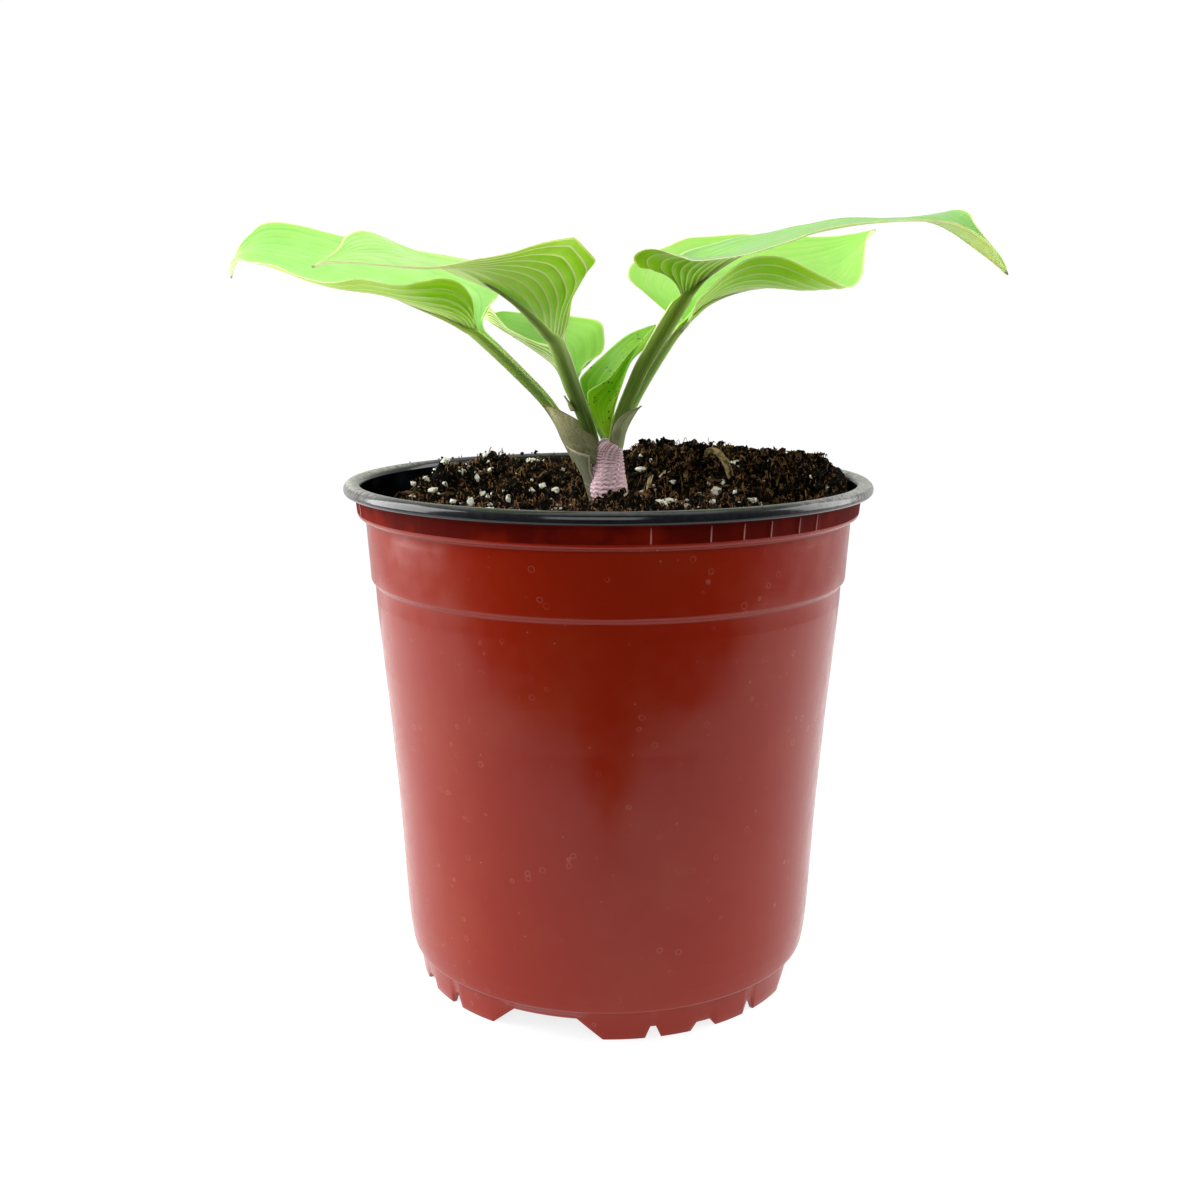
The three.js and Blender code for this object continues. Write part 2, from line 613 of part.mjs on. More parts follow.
// A dead leaf stalk that arches over the soil.
function tuft(grow = 0) {
  const base = soilHeight(TUFT[0], TUFT[1]);
  const route = [[-2, 3, -1], [-1, 1, 4], [1, -1, 5], [3.5, -3, 2], [5, -4, -1.5]];
  const path = curveThrough(route.map(([dx, dy, dz]) => [TUFT[0] + dx, TUFT[1] + dy, base + dz]));
  return solidOf(stem(path, [0.9, 1.1, 1, 0.7].map((r) => r + grow), 6, 10));
}

function loosePieces(grow = 0) {
  const pieces = {};
  PERLITE.forEach((_, i) => { pieces[`perlite_${i + 1}`] = perlite(i, grow); });
  BARK.forEach((_, i) => { pieces[`bark_chip_${i + 1}`] = bark(i, grow); });
  STRAW.forEach((_, i) => { pieces[`straw_${i + 1}`] = straw(i, grow); });
  pieces.dead_stalk = tuft(grow);
  return pieces;
}

// The soil fills the pot up to its own surface, and holds a socket for the crown and
// roots, a shallow well for the shoots and a socket for each loose piece.
function soil() {
  const side = POT_OUTSIDE.slice(FLOOR_CORNER, COLLAR_FOOT + 1);
  const wall = [
    [FOOT_RADIUS - WALL - SEAT_GAP, FLOOR_LIFT + WALL + SEAT_GAP],
    ...side.map(([r, z]) => [r - WALL - SEAT_GAP, z]),
  ];
  const edge = wall[wall.length - 1][0];
  const sectors = 32;
  const ring = (radius, height) => Array.from({ length: sectors }, (_, i) => {
    const angle = (2 * Math.PI * i) / sectors;
    const x = radius * Math.cos(angle);
    const y = radius * Math.sin(angle);
    return new THREE.Vector3(x, y, height === null ? soilHeight(x, y) : height);
  });
  const rings = wall.map(([r, z]) => ring(r, z));
  for (let radius = edge; radius > SOIL_STEP / 2; radius -= SOIL_STEP) {
    rings.push(ring(radius, null));
  }
  const well = new THREE.CylinderGeometry(WELL_RADIUS, WELL_RADIUS, WELL_HEIGHT, 28);
  well.rotateX(Math.PI / 2);
  well.translate(CROWN[0], CROWN[1], CROWN_TOP - SEAT_GAP + WELL_HEIGHT / 2);
  const grown = Object.values(loosePieces(SEAT_GAP));
  const cutters = Manifold.union([crownSolid(SEAT_GAP), solidOf(well), ...grown]);
  return solidOf(loft(rings)).subtract(cutters);
}

// ---------------------------------------------------------------- assembly
const COLOURS = {
  pot: "#8d3a30",
  potting_soil: "#2c1d14",
  crown_with_roots: "#c9b48c",
  perlite: "#e9e6dc",
  bark_chip: "#5d3c22",
  straw: "#b99a68",
  dead_stalk: "#8a7350",
};

function addPiece(group, name, solid, colour) {
  const material = new THREE.MeshStandardMaterial({ color: colour, roughness: 0.6, metalness: 0 });
  const mesh = new THREE.Mesh(geometryFrom(solid), material);
  mesh.name = name;
  group.add(mesh);
}

function assemble() {
  const plant = new THREE.Group();
  addPiece(plant, "pot", pot(), COLOURS.pot);
  addPiece(plant, "potting_soil", soil(), COLOURS.potting_soil);
  addPiece(plant, "crown_with_roots", crownSolid(), COLOURS.crown_with_roots);
  Object.entries(LEAVES).forEach(([name, leaf]) => {
    addPiece(plant, name, leafSolid(leaf), leaf.colour);
  });
  Object.entries(SCALES).forEach(([name, scale]) => {
    addPiece(plant, name, scaleSolid(scale), scale.colour);
  });
  Object.entries(loosePieces()).forEach(([name, solid]) => {
    addPiece(plant, name, solid, COLOURS[name.replace(/_\d+$/, "")]);
  });
  const box = new THREE.Box3().setFromObject(plant);
  const centre = box.getCenter(new THREE.Vector3());
  plant.position.set(-centre.x, -centre.y, -box.min.z);
  return plant;
}

const group = new THREE.Group();
group.add(assemble());

export default group;
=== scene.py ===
"""Potted hosta: the looks of the plant, its pot and its soil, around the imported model.

Shapes are worked out in millimetres round the pot's axis, with the floor at height 0 and
the front towards -Y. The bench puts each finished shape into the frame, in metres.
"""

import logging
import math
from dataclasses import dataclass, field
from enum import Enum
from typing import Optional, Sequence

import bpy
import numpy as np
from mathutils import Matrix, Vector


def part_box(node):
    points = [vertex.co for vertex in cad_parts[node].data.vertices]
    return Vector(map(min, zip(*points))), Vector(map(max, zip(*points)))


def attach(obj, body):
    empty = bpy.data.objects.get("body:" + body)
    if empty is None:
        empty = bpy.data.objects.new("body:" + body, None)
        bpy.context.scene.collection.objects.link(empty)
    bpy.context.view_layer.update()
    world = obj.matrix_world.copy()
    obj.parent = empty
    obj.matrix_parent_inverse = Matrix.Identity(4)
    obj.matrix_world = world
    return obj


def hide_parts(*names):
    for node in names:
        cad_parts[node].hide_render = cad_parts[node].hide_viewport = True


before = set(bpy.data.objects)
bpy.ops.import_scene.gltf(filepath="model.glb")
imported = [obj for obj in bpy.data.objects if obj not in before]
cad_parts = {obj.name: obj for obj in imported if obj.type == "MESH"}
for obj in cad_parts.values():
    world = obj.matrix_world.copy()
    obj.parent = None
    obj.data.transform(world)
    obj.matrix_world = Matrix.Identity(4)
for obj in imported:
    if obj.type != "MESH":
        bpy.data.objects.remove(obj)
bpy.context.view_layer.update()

Array = np.ndarray
Colour = tuple[float, float, float]
LOG = logging.getLogger("potted_hosta")
MM = 0.001
FULL_TURN = 2.0 * math.pi


class Side(Enum):
    """The two halves of a leaf, as seen from its foot looking to its tip."""

    LEFT = -1.0
    RIGHT = 1.0


class Slot(Enum):
    """The record's material slots."""

    POT = "pot"
    SOIL = "soil"
    LEAF = "leaf"
    SHEATH = "sheath"
    SCALE = "scale"
    PERLITE = "perlite"
    BARK = "bark"
    STRAW = "straw"


# ---------------- small mathematics


def smoothstep(value: Array, low: float, high: float) -> Array:
    """A step that eases from 0 at low to 1 at high: 3 s squared less 2 s cubed."""
    share = np.clip((value - low) / (high - low), 0.0, 1.0)
    return share * share * (3.0 - 2.0 * share)


def unit(vectors: Array) -> Array:
    """The vectors, each divided by its own length."""
    length = np.linalg.norm(vectors, axis=-1, keepdims=True)
    return vectors / np.maximum(length, 1e-12)


def lattice_noise(points: Array, seed: int) -> Array:
    """Smooth noise from -1 to 1 with one bump to each unit of length.

    Every whole-numbered corner of space gets a value from a hash of its coordinates, and
    a point takes the eased average of the eight corners around it.

    Args:
        points: Places, three numbers in the last axis.
        seed: Picks one noise out of many.

    Returns:
        One value for each place.
    """
    floor = np.floor(points)
    share = points - floor
    eased = share * share * (3.0 - 2.0 * share)
    corner = floor.astype(np.int64)
    total = np.zeros(points.shape[:-1])
    for index in range(8):
        step = np.array([index & 1, (index >> 1) & 1, (index >> 2) & 1])
        weight = np.prod(np.where(step == 1, eased, 1.0 - eased), axis=-1)
        x, y, z = np.moveaxis(corner + step, -1, 0)
        mixed = (x * 73856093) ^ (y * 19349663) ^ (z * 83492791) ^ (seed * 2654435)
        mixed = (mixed ^ (mixed >> 13)) * 1274126177
        mixed = (mixed ^ (mixed >> 16)) & 0xFFFF
        total += weight * (mixed / 32767.5 - 1.0)
    return total


def layered_noise(points: Array, seed: int, layers: int) -> Array:
    """Noise added up in layers, each twice as fine and a little over half as strong."""
    scales = 2.03 ** np.arange(layers)
    strengths = 0.55 ** np.arange(layers)
    parts = [k * lattice_noise(points * s, seed + i) for i, (s, k) in enumerate(zip(scales, strengths))]
    return np.sum(parts, axis=0) / strengths.sum()


@dataclass(frozen=True)
class SmoothCurve:
    """A smooth curve through listed rows of numbers.

    Between two rows it is the uniform Catmull-Rom cubic of the four rows around them;
    past either end comes the row given for it, or else the last step is carried on. The
    first three numbers are a place.
    """

    stations: Array
    before: Optional[Array] = None
    after: Optional[Array] = None

    def free(self, share: Array) -> Array:
        """Rows at shares of the list, where each listed row counts the same."""
        rows = self.stations
        before = 2 * rows[0] - rows[1] if self.before is None else self.before
        after = 2 * rows[-1] - rows[-2] if self.after is None else self.after
        padded = np.vstack([before, rows, after])
        place = np.clip(share, 0.0, 1.0) * (len(rows) - 1)
        first = np.minimum(place.astype(int), len(rows) - 2)
        w = (place - first)[..., None]
        a, b, c, d = (padded[first + step] for step in range(4))
        squared = 2 * a - 5 * b + 4 * c - d
        cubed = 3 * b - a - 3 * c + d
        return 0.5 * (2 * b + (c - a) * w + squared * w**2 + cubed * w**3)

    def _measured(self) -> tuple[Array, Array]:
        """Shares of the list and the length run at each."""
        share = np.linspace(0.0, 1.0, 800)
        steps = np.linalg.norm(np.diff(self.free(share)[:, :3], axis=0), axis=1)
        return share, np.concatenate([[0.0], np.cumsum(steps)])

    def length(self) -> float:
        """The whole length."""
        return float(self._measured()[1][-1])

    def share_at(self, index: int) -> float:
        """The share of the length at which a listed row stands."""
        share, run = self._measured()
        return float(np.interp(index / (len(self.stations) - 1), share, run) / run[-1])

    def at(self, along: Array) -> Array:
        """Rows at shares of the length, from 0 to 1."""
        share, run = self._measured()
        return self.free(np.interp(np.clip(along, 0.0, 1.0) * run[-1], run, share))

    def ahead(self, along: Array) -> Array:
        """Unit directions of travel at shares of the length."""
        step = 0.004
        low = np.clip(along - step, 0.0, 1.0)
        high = np.clip(along + step, 0.0, 1.0)
        return unit((self.at(high) - self.at(low))[..., :3])


# ---------------- shells and pieces


def grid_quads(rows: int, columns: int, ring: bool) -> Array:
    """Four-cornered faces of a grid whose points run row by row.

    Args:
        rows: Number of rows of points.
        columns: Number of points in a row.
        ring: Whether the last column joins on to the first.

    Returns:
        Point numbers, four to a face.
    """
    row = np.arange(rows - 1)[:, None]
    column = np.arange(columns if ring else columns - 1)[None, :]
    here = row * columns + column
    beside = row * columns + (column + 1) % columns
    return np.stack([here, beside, beside + columns, here + columns], axis=-1).reshape(-1, 4)


@dataclass
class Shell:
    """A mesh in the making: places in millimetres, faces, and values at its points."""

    points: Array
    quads: Array = field(default_factory=lambda: np.zeros((0, 4), int))
    triangles: Array = field(default_factory=lambda: np.zeros((0, 3), int))
    values: dict[str, Array] = field(default_factory=dict)

    def outward(self) -> "Shell":
        """The same closed shell with its faces turned outwards, judged by its volume."""
        fans = np.concatenate([self.quads[:, [0, 1, 2]], self.quads[:, [0, 2, 3]], self.triangles])
        a, b, c = (self.points[fans[:, i]] for i in range(3))
        if np.einsum("ij,ij->i", a, np.cross(b, c)).sum() < 0.0:
            return Shell(self.points, self.quads[:, ::-1], self.triangles[:, ::-1], self.values)
        return self

    @staticmethod
    def joined(shells: Sequence["Shell"]) -> "Shell":
        """Several shells as one mesh; a value that one lacks is 0 on it."""
        starts = np.cumsum([0] + [len(shell.points) for shell in shells[:-1]])
        names = sorted({name for shell in shells for name in shell.values})
        values = {
            name: np.concatenate([s.values.get(name, np.zeros(len(s.points))) for s in shells])
            for name in names
        }
        return Shell(
            np.concatenate([shell.points for shell in shells]),
            np.concatenate([shell.quads + start for shell, start in zip(shells, starts)]),
            np.concatenate([shell.triangles + start for shell, start in zip(shells, starts)]),
            values,
        )


def ring_stack(rings: Array, values: Optional[dict[str, Array]] = None) -> Shell:
    """A closed shell through a stack of rings, each end drawn together at its centre.

    Args:
        rings: Places, as rows by points by three.
        values: Values at the rings' points, as rows by points.

    Returns:
        The shell, facing outwards.
    """
    rows, sides = rings.shape[:2]
    hubs = np.stack([rings[0].mean(axis=0), rings[-1].mean(axis=0)])
    side = np.arange(sides)
    beside = (side + 1) % sides
    first, last = rows * sides, rows * sides + 1
    top = (rows - 1) * sides
    low_cap = np.stack([np.full(sides, first), beside, side], axis=1)
    high_cap = np.stack([np.full(sides, last), side + top, beside + top], axis=1)
    kept = {
        name: np.concatenate([grid.ravel(), [grid[0].mean(), grid[-1].mean()]])
        for name, grid in (values or {}).items()
    }
    points = np.concatenate([rings.reshape(-1, 3), hubs])
    return Shell(points, grid_quads(rows, sides, True), np.concatenate([low_cap, high_cap]), kept).outward()


def leaf_stack(rings: Array, values: dict[str, Array]) -> Shell:
    """A closed shell through flat rings, each end closed by a strip between two faces.

    A ring runs over the upper face from one margin to the other and back below, and
    the two margin points belong to both faces.

    Args:
        rings: Places, as rows by points by three, with an even number of points.
        values: Values at the rings' points, as rows by points.

    Returns:
        The shell, facing outwards.
    """
    rows, sides = rings.shape[:2]
    half = sides // 2
    top = np.arange(half)
    under = (sides - top) % sides
    strip = np.stack([top, top + 1, (sides - top - 1) % sides, under], axis=1)
    strip = strip[1:]
    end = (rows - 1) * sides
    triangle = np.array([[0, 1, sides - 1], [end, end + sides - 1, end + 1]])
    whole = [grid_quads(rows, sides, True), strip[:-1][:, ::-1], strip[:-1] + end]
    last = np.array([[half, half + 1, half - 1], [end + half, end + half - 1, end + half + 1]])
    kept = {name: grid.ravel() for name, grid in values.items()}
    triangles = np.concatenate([triangle[:, ::-1], last[:, ::-1]])
    return Shell(rings.reshape(-1, 3), np.concatenate(whole), triangles, kept).outward()


def tube(path: SmoothCurve, radii: Sequence[float], sides: int, steps: int) -> Shell:
    """A round tapering stem: circles square to the path, with radii eased along it.

    Args:
        path: The middle line.
        radii: Radii at even shares of the length.
        sides: Points round each circle.
        steps: Lengths from end to end.

    Returns:
        The closed stem, with the value along from 0 to 1.
    """
    along = np.linspace(0.0, 1.0, steps + 1)
    middle, ahead = path.at(along)[:, :3], path.ahead(along)
    across = unit(np.cross(ahead, np.array([0.31, 0.52, -0.79])))
    over = np.cross(ahead, across)
    radius = np.interp(along, np.linspace(0, 1, len(radii)), radii)[:, None, None]
    angle = (FULL_TURN * np.arange(sides) / sides)[None, :, None]
    offset = across[:, None] * np.cos(angle) + over[:, None] * np.sin(angle)
    rings = middle[:, None] + radius * offset
    return ring_stack(rings, {"along": np.repeat(along[:, None], sides, axis=1)})


@dataclass(frozen=True)
class Bench:
    """Puts shells into the frame: the pot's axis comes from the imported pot."""

    axis: Array

    @staticmethod
    def from_frame() -> "Bench":
        """The bench of the loaded frame."""
        low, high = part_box("pot")
        return Bench(np.array([(low.x + high.x) / 2, (low.y + high.y) / 2, low.z]) / MM)

    def place(
        self,
        name: str,
        shell: Shell,
        material: bpy.types.Material,
        slot: Slot,
        nodes: Sequence[str] = (),
    ) -> bpy.types.Object:
        """Makes a piece from a shell, and says what it rides on and stands for.

        Args:
            name: The piece's name.
            shell: Its mesh, in millimetres round the pot's axis.
            material: Its finish.
            slot: The record's slot that the finish belongs to; not used.
            nodes: The CAD nodes that it stands for.

        Returns:
            The new object.
        """
        piece = bpy.data.objects.new(name, self.mesh(name, shell))
        piece.data.materials.append(material)
        bpy.context.scene.collection.objects.link(piece)
        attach(piece, "root")
        if nodes:
            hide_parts(*nodes)
        faces = 2 * len(shell.quads) + len(shell.triangles)
        LOG.info("%s: %d triangles, stands for %s", name, faces, ", ".join(nodes) or "no node")
        return piece

    def mesh(self, name: str, shell: Shell) -> bpy.types.Mesh:
        """The Blender mesh of a shell, smooth shaded, in metres in the frame.

        Args:
            name: The mesh's name.
            shell: Its points and faces, in millimetres round the pot's axis.

        Returns:
            The new mesh.
        """
        mesh = bpy.data.meshes.new(name)
        points = ((shell.points + self.axis) * MM).astype(np.float32)
        corners = np.concatenate([shell.quads.ravel(), shell.triangles.ravel()])
        four, three = len(shell.quads), len(shell.triangles)
        starts = np.concatenate([4 * np.arange(four), 4 * four + 3 * np.arange(three)])
        mesh.vertices.add(len(points))
        mesh.vertices.foreach_set("co", points.ravel())
        mesh.loops.add(len(corners))
        mesh.loops.foreach_set("vertex_index", corners.astype(np.int32))
        mesh.polygons.add(four + three)
        mesh.polygons.foreach_set("loop_start", starts.astype(np.int32))
        mesh.polygons.foreach_set("use_smooth", np.ones(four + three, bool))
        for value_name, value in shell.values.items():
            layer = mesh.attributes.new(value_name, "FLOAT", "POINT")
            layer.data.foreach_set("value", value.astype(np.float32))
        mesh.update(calc_edges=True)
        return mesh


# ---------------- finishes

Socket = bpy.types.NodeSocket


class Recipe:
    """A material being put together: adds nodes and joins them to its shader."""

    def __init__(self, name: str, roughness: float, specular: float = 0.5) -> None:
        """Starts a material with one shader.

        Args:
            name: The material's name.
            roughness: The shader's roughness, where nothing is joined to it.
            specular: The shader's specular level.
        """
        self.material = bpy.data.materials.new(name)
        self.material.use_nodes = True
        self.tree = self.material.node_tree
        self.shader = self.tree.nodes["Principled BSDF"]
        self.shader.inputs["Roughness"].default_value = roughness
        self.shader.inputs["Specular IOR Level"].default_value = specular

    def _feed(self, socket: Socket, value: "Socket | float | Colour") -> None:
        """Joins a socket to another, or sets its own number or colour."""
        if isinstance(value, bpy.types.NodeSocket):
            self.tree.links.new(value, socket)
        elif isinstance(value, tuple):
            socket.default_value = (*value, 1.0) if socket.type == "RGBA" else value
        else:
            socket.default_value = value

    def place(self) -> Socket:
        """The place on the piece, in metres."""
        return self.tree.nodes.new("ShaderNodeTexCoord").outputs["Object"]

    def part(self, axis: str) -> Socket:
        """One coordinate of the place on the piece."""
        node = self.tree.nodes.new("ShaderNodeSeparateXYZ")
        self._feed(node.inputs[0], self.place())
        return node.outputs[axis]

    def value(self, name: str) -> Socket:
        """A value that the mesh holds at its points."""
        node = self.tree.nodes.new("ShaderNodeAttribute")
        node.attribute_name = name
        return node.outputs["Fac"]

    def math(self, step: str, a: "Socket | float", b: "Socket | float" = 0.0) -> Socket:
        """One step of arithmetic."""
        node = self.tree.nodes.new("ShaderNodeMath")
        node.operation = step
        self._feed(node.inputs[0], a)
        self._feed(node.inputs[1], b)
        return node.outputs[0]

    def times(self, a: "Socket | float", b: "Socket | float") -> Socket:
        """The product of two values."""
        return self.math("MULTIPLY", a, b)

    def plus(self, a: "Socket | float", b: "Socket | float") -> Socket:
        """The sum of two values."""
        return self.math("ADD", a, b)

    def ease(self, value: Socket, low: float, high: float, start: float = 0.0, end: float = 1.0) -> Socket:
        """Eases from start, where value is low, to end, where it is high."""
        node = self.tree.nodes.new("ShaderNodeMapRange")
        node.interpolation_type = "SMOOTHSTEP"
        self._feed(node.inputs["Value"], value)
        for name, number in zip(("From Min", "From Max", "To Min", "To Max"), (low, high, start, end)):
            node.inputs[name].default_value = number
        return node.outputs["Result"]

    def blend(
        self,
        share: "Socket | float",
        a: "Socket | Colour",
        b: "Socket | Colour",
        kind: str = "MIX",
    ) -> Socket:
        """A blend of two colours."""
        node = self.tree.nodes.new("ShaderNodeMix")
        node.data_type = "RGBA"
        node.blend_type = kind
        self._feed(node.inputs["Factor"], share)
        self._feed(node.inputs[6], a)
        self._feed(node.inputs[7], b)
        return node.outputs[2]

    def noise(
        self,
        size_mm: float,
        detail: float = 3.0,
        vector: Optional[Socket] = None,
        stretch: Optional[Colour] = None,
    ) -> Socket:
        """Cloudy noise with lumps of about the given size.

        Args:
            size_mm: Size of a lump in millimetres.
            detail: Layers of finer noise.
            vector: Where to read it; the place on the piece if left out.
            stretch: How much finer it is along each axis.

        Returns:
            The noise, from 0 to 1.
        """
        node = self.tree.nodes.new("ShaderNodeTexNoise")
        node.inputs["Scale"].default_value = 1.0 / (size_mm * MM)
        node.inputs["Detail"].default_value = detail
        source = vector or self.place()
        if stretch is not None:
            mapping = self.tree.nodes.new("ShaderNodeMapping")
            mapping.inputs["Scale"].default_value = stretch
            self._feed(mapping.inputs["Vector"], source)
            source = mapping.outputs[0]
        self._feed(node.inputs["Vector"], source)
        return node.outputs["Fac"]

    def spots(self, size_mm: float, low: float, high: float) -> Socket:
        """Scattered round spots: 1 within low cells of a cell's middle, 0 past high."""
        node = self.tree.nodes.new("ShaderNodeTexVoronoi")
        node.inputs["Scale"].default_value = 1.0 / (size_mm * MM)
        self._feed(node.inputs["Vector"], self.place())
        return self.ease(node.outputs["Distance"], low, high, 1.0, 0.0)

    def ring_marks(self, size_mm: float, radius: float, breadth: float) -> Socket:
        """Thin rings round the middles of scattered cells, as dried drops leave them."""
        node = self.tree.nodes.new("ShaderNodeTexVoronoi")
        node.inputs["Scale"].default_value = 1.0 / (size_mm * MM)
        self._feed(node.inputs["Vector"], self.place())
        wobble = self.times(self.noise(1.6, 2.0), 0.16)
        distance = self.plus(node.outputs["Distance"], wobble)
        off_ring = self.math("ABSOLUTE", self.math("SUBTRACT", distance, radius + 0.08))
        return self.ease(off_ring, 0.0, breadth, 1.0, 0.0)

    def joined(self, *values: Socket) -> Socket:
        """Up to three values as one vector."""
        node = self.tree.nodes.new("ShaderNodeCombineXYZ")
        for socket, value in zip(node.inputs, values):
            self._feed(socket, value)
        return node.outputs[0]

    def bump(self, height: Socket, depth_mm: float, under: Optional[Socket] = None) -> Socket:
        """Relief on the surface.

        Args:
            height: Height of the relief, from 0 to 1.
            depth_mm: Real height of a step from 0 to 1.
            under: Relief that this one lies on.

        Returns:
            The normal.
        """
        node = self.tree.nodes.new("ShaderNodeBump")
        node.inputs["Strength"].default_value = 1.0
        node.inputs["Distance"].default_value = depth_mm * MM
        self._feed(node.inputs["Height"], height)
        if under is not None:
            self._feed(node.inputs["Normal"], under)
        return node.outputs[0]

    def finish(
        self,
        colour: Socket,
        roughness: Optional[Socket] = None,
        normal: Optional[Socket] = None,
    ) -> bpy.types.Material:
        """Joins the results to the shader and gives back the material."""
        self._feed(self.shader.inputs["Base Color"], colour)
        if roughness is not None:
            self._feed(self.shader.inputs["Roughness"], roughness)
        if normal is not None:
            self._feed(self.shader.inputs["Normal"], normal)
        return self.material


@dataclass(frozen=True)
class LeafFinish:
    """Living leaf: veined, paler above, deeper green below, with a cream margin; the greens below are partly
    the leaf's own, partly painted light shining through it.
    """

    name: str
    top: Colour = (0.40, 0.80, 0.17)
    top_line: Colour = (0.29, 0.66, 0.09)
    # painted light: the underside greens are set brighter than the leaf's own colour, standing in for light
    # shining through the leaf
    under: Colour = (0.56, 0.78, 0.12)
    under_deep: Colour = (0.40, 0.66, 0.010)
    vein: Colour = (0.72, 0.88, 0.34)
    cream: Colour = (0.74, 0.88, 0.42)
    stalk: Colour = (0.14, 0.25, 0.03)
    stalk_lip: Colour = (0.42, 0.64, 0.16)
    stalk_foot: Colour = (0.085, 0.085, 0.03)
    brown: Colour = (0.10, 0.06, 0.03)
    roughness: float = 0.42
    through: float = 0.75
    dirt: float = 0.0

    def make(self) -> bpy.types.Material:
        """Builds the material from the values held by a leaf's mesh.

        Returns:
            The material.
        """
        recipe = Recipe(self.name, self.roughness, 0.2)
        phase, spacing = recipe.value("phase"), recipe.value("spacing")
        within = recipe.math("FRACT", recipe.plus(phase, 0.5))
        cell = recipe.math("ABSOLUTE", recipe.math("SUBTRACT", within, 0.5))
        off_line = recipe.times(cell, spacing)
        line = recipe.ease(off_line, 0.14, 0.46, 1.0, 0.0)
        under = recipe.value("under")
        along = recipe.value("along")
        patch = recipe.noise(9.0, 4.0)
        outer = recipe.value("outer")
        top = recipe.blend(recipe.times(line, 0.5), self.top, self.top_line)
        top = recipe.blend(recipe.ease(patch, 0.35, 0.7, 0.0, 0.35), top, self.top_line)
        # underside colour: partly the leaf's own green, partly painted light shining through the leaf
        below = recipe.blend(recipe.ease(outer, 0.1, 0.75), self.under, self.under_deep)
        below = recipe.blend(recipe.ease(patch, 0.3, 0.7, 0.0, 0.4), below, self.under)
        below = recipe.blend(line, below, self.vein)
        blade = recipe.blend(under, top, below)
        lengthwise = recipe.joined(recipe.times(recipe.value("grain"), 0.004), recipe.times(along, 0.003))
        fine = recipe.noise(1.0, 2.0, lengthwise)
        blade = recipe.blend(recipe.ease(fine, 0.35, 0.75, 0.0, 0.16), blade, self.vein)
        rim = recipe.ease(recipe.value("edge"), 0.45, 0.85, 1.0, 0.0)
        rim = recipe.times(rim, recipe.ease(along, 0.90, 0.97, 1.0, 0.3))
        blade = recipe.blend(rim, blade, self.cream)
        stalk = recipe.blend(recipe.ease(along, -1.0, -0.45), self.stalk_foot, self.stalk)
        stalk = recipe.blend(recipe.ease(fine, 0.35, 0.75, 0.0, 0.16), stalk, self.vein)
        stalk = recipe.blend(recipe.ease(outer, 0.3, 0.75), stalk, self.stalk_lip)
        stalk = recipe.blend(recipe.ease(recipe.value("edge"), 0.2, 0.7, 0.6, 0.0), stalk, self.vein)
        colour = recipe.blend(recipe.ease(along, -0.4, 0.08), stalk, blade)
        colour = recipe.blend(recipe.ease(along, 0.983, 0.996, 0.0, 0.75), colour, self.brown)
        if self.dirt > 0.0:
            dots = recipe.spots(1.3, 0.2, 0.36)
            specks = recipe.times(dots, recipe.ease(recipe.noise(4.0, 3.0), 0.50, 0.58))
            colour = recipe.blend(recipe.times(specks, self.dirt), colour, self.brown)
        relief = recipe.bump(fine, 0.05, recipe.bump(recipe.noise(0.5, 3.0), 0.02))
        rough = recipe.ease(patch, 0.3, 0.7, self.roughness - 0.06, self.roughness + 0.08)
        recipe.shader.inputs["Subsurface Weight"].default_value = self.through
        recipe.shader.inputs["Subsurface Radius"].default_value = (0.8, 1.0, 0.3)
        recipe.shader.inputs["Subsurface Scale"].default_value = 1.2 * MM
        return recipe.finish(colour, rough, relief)


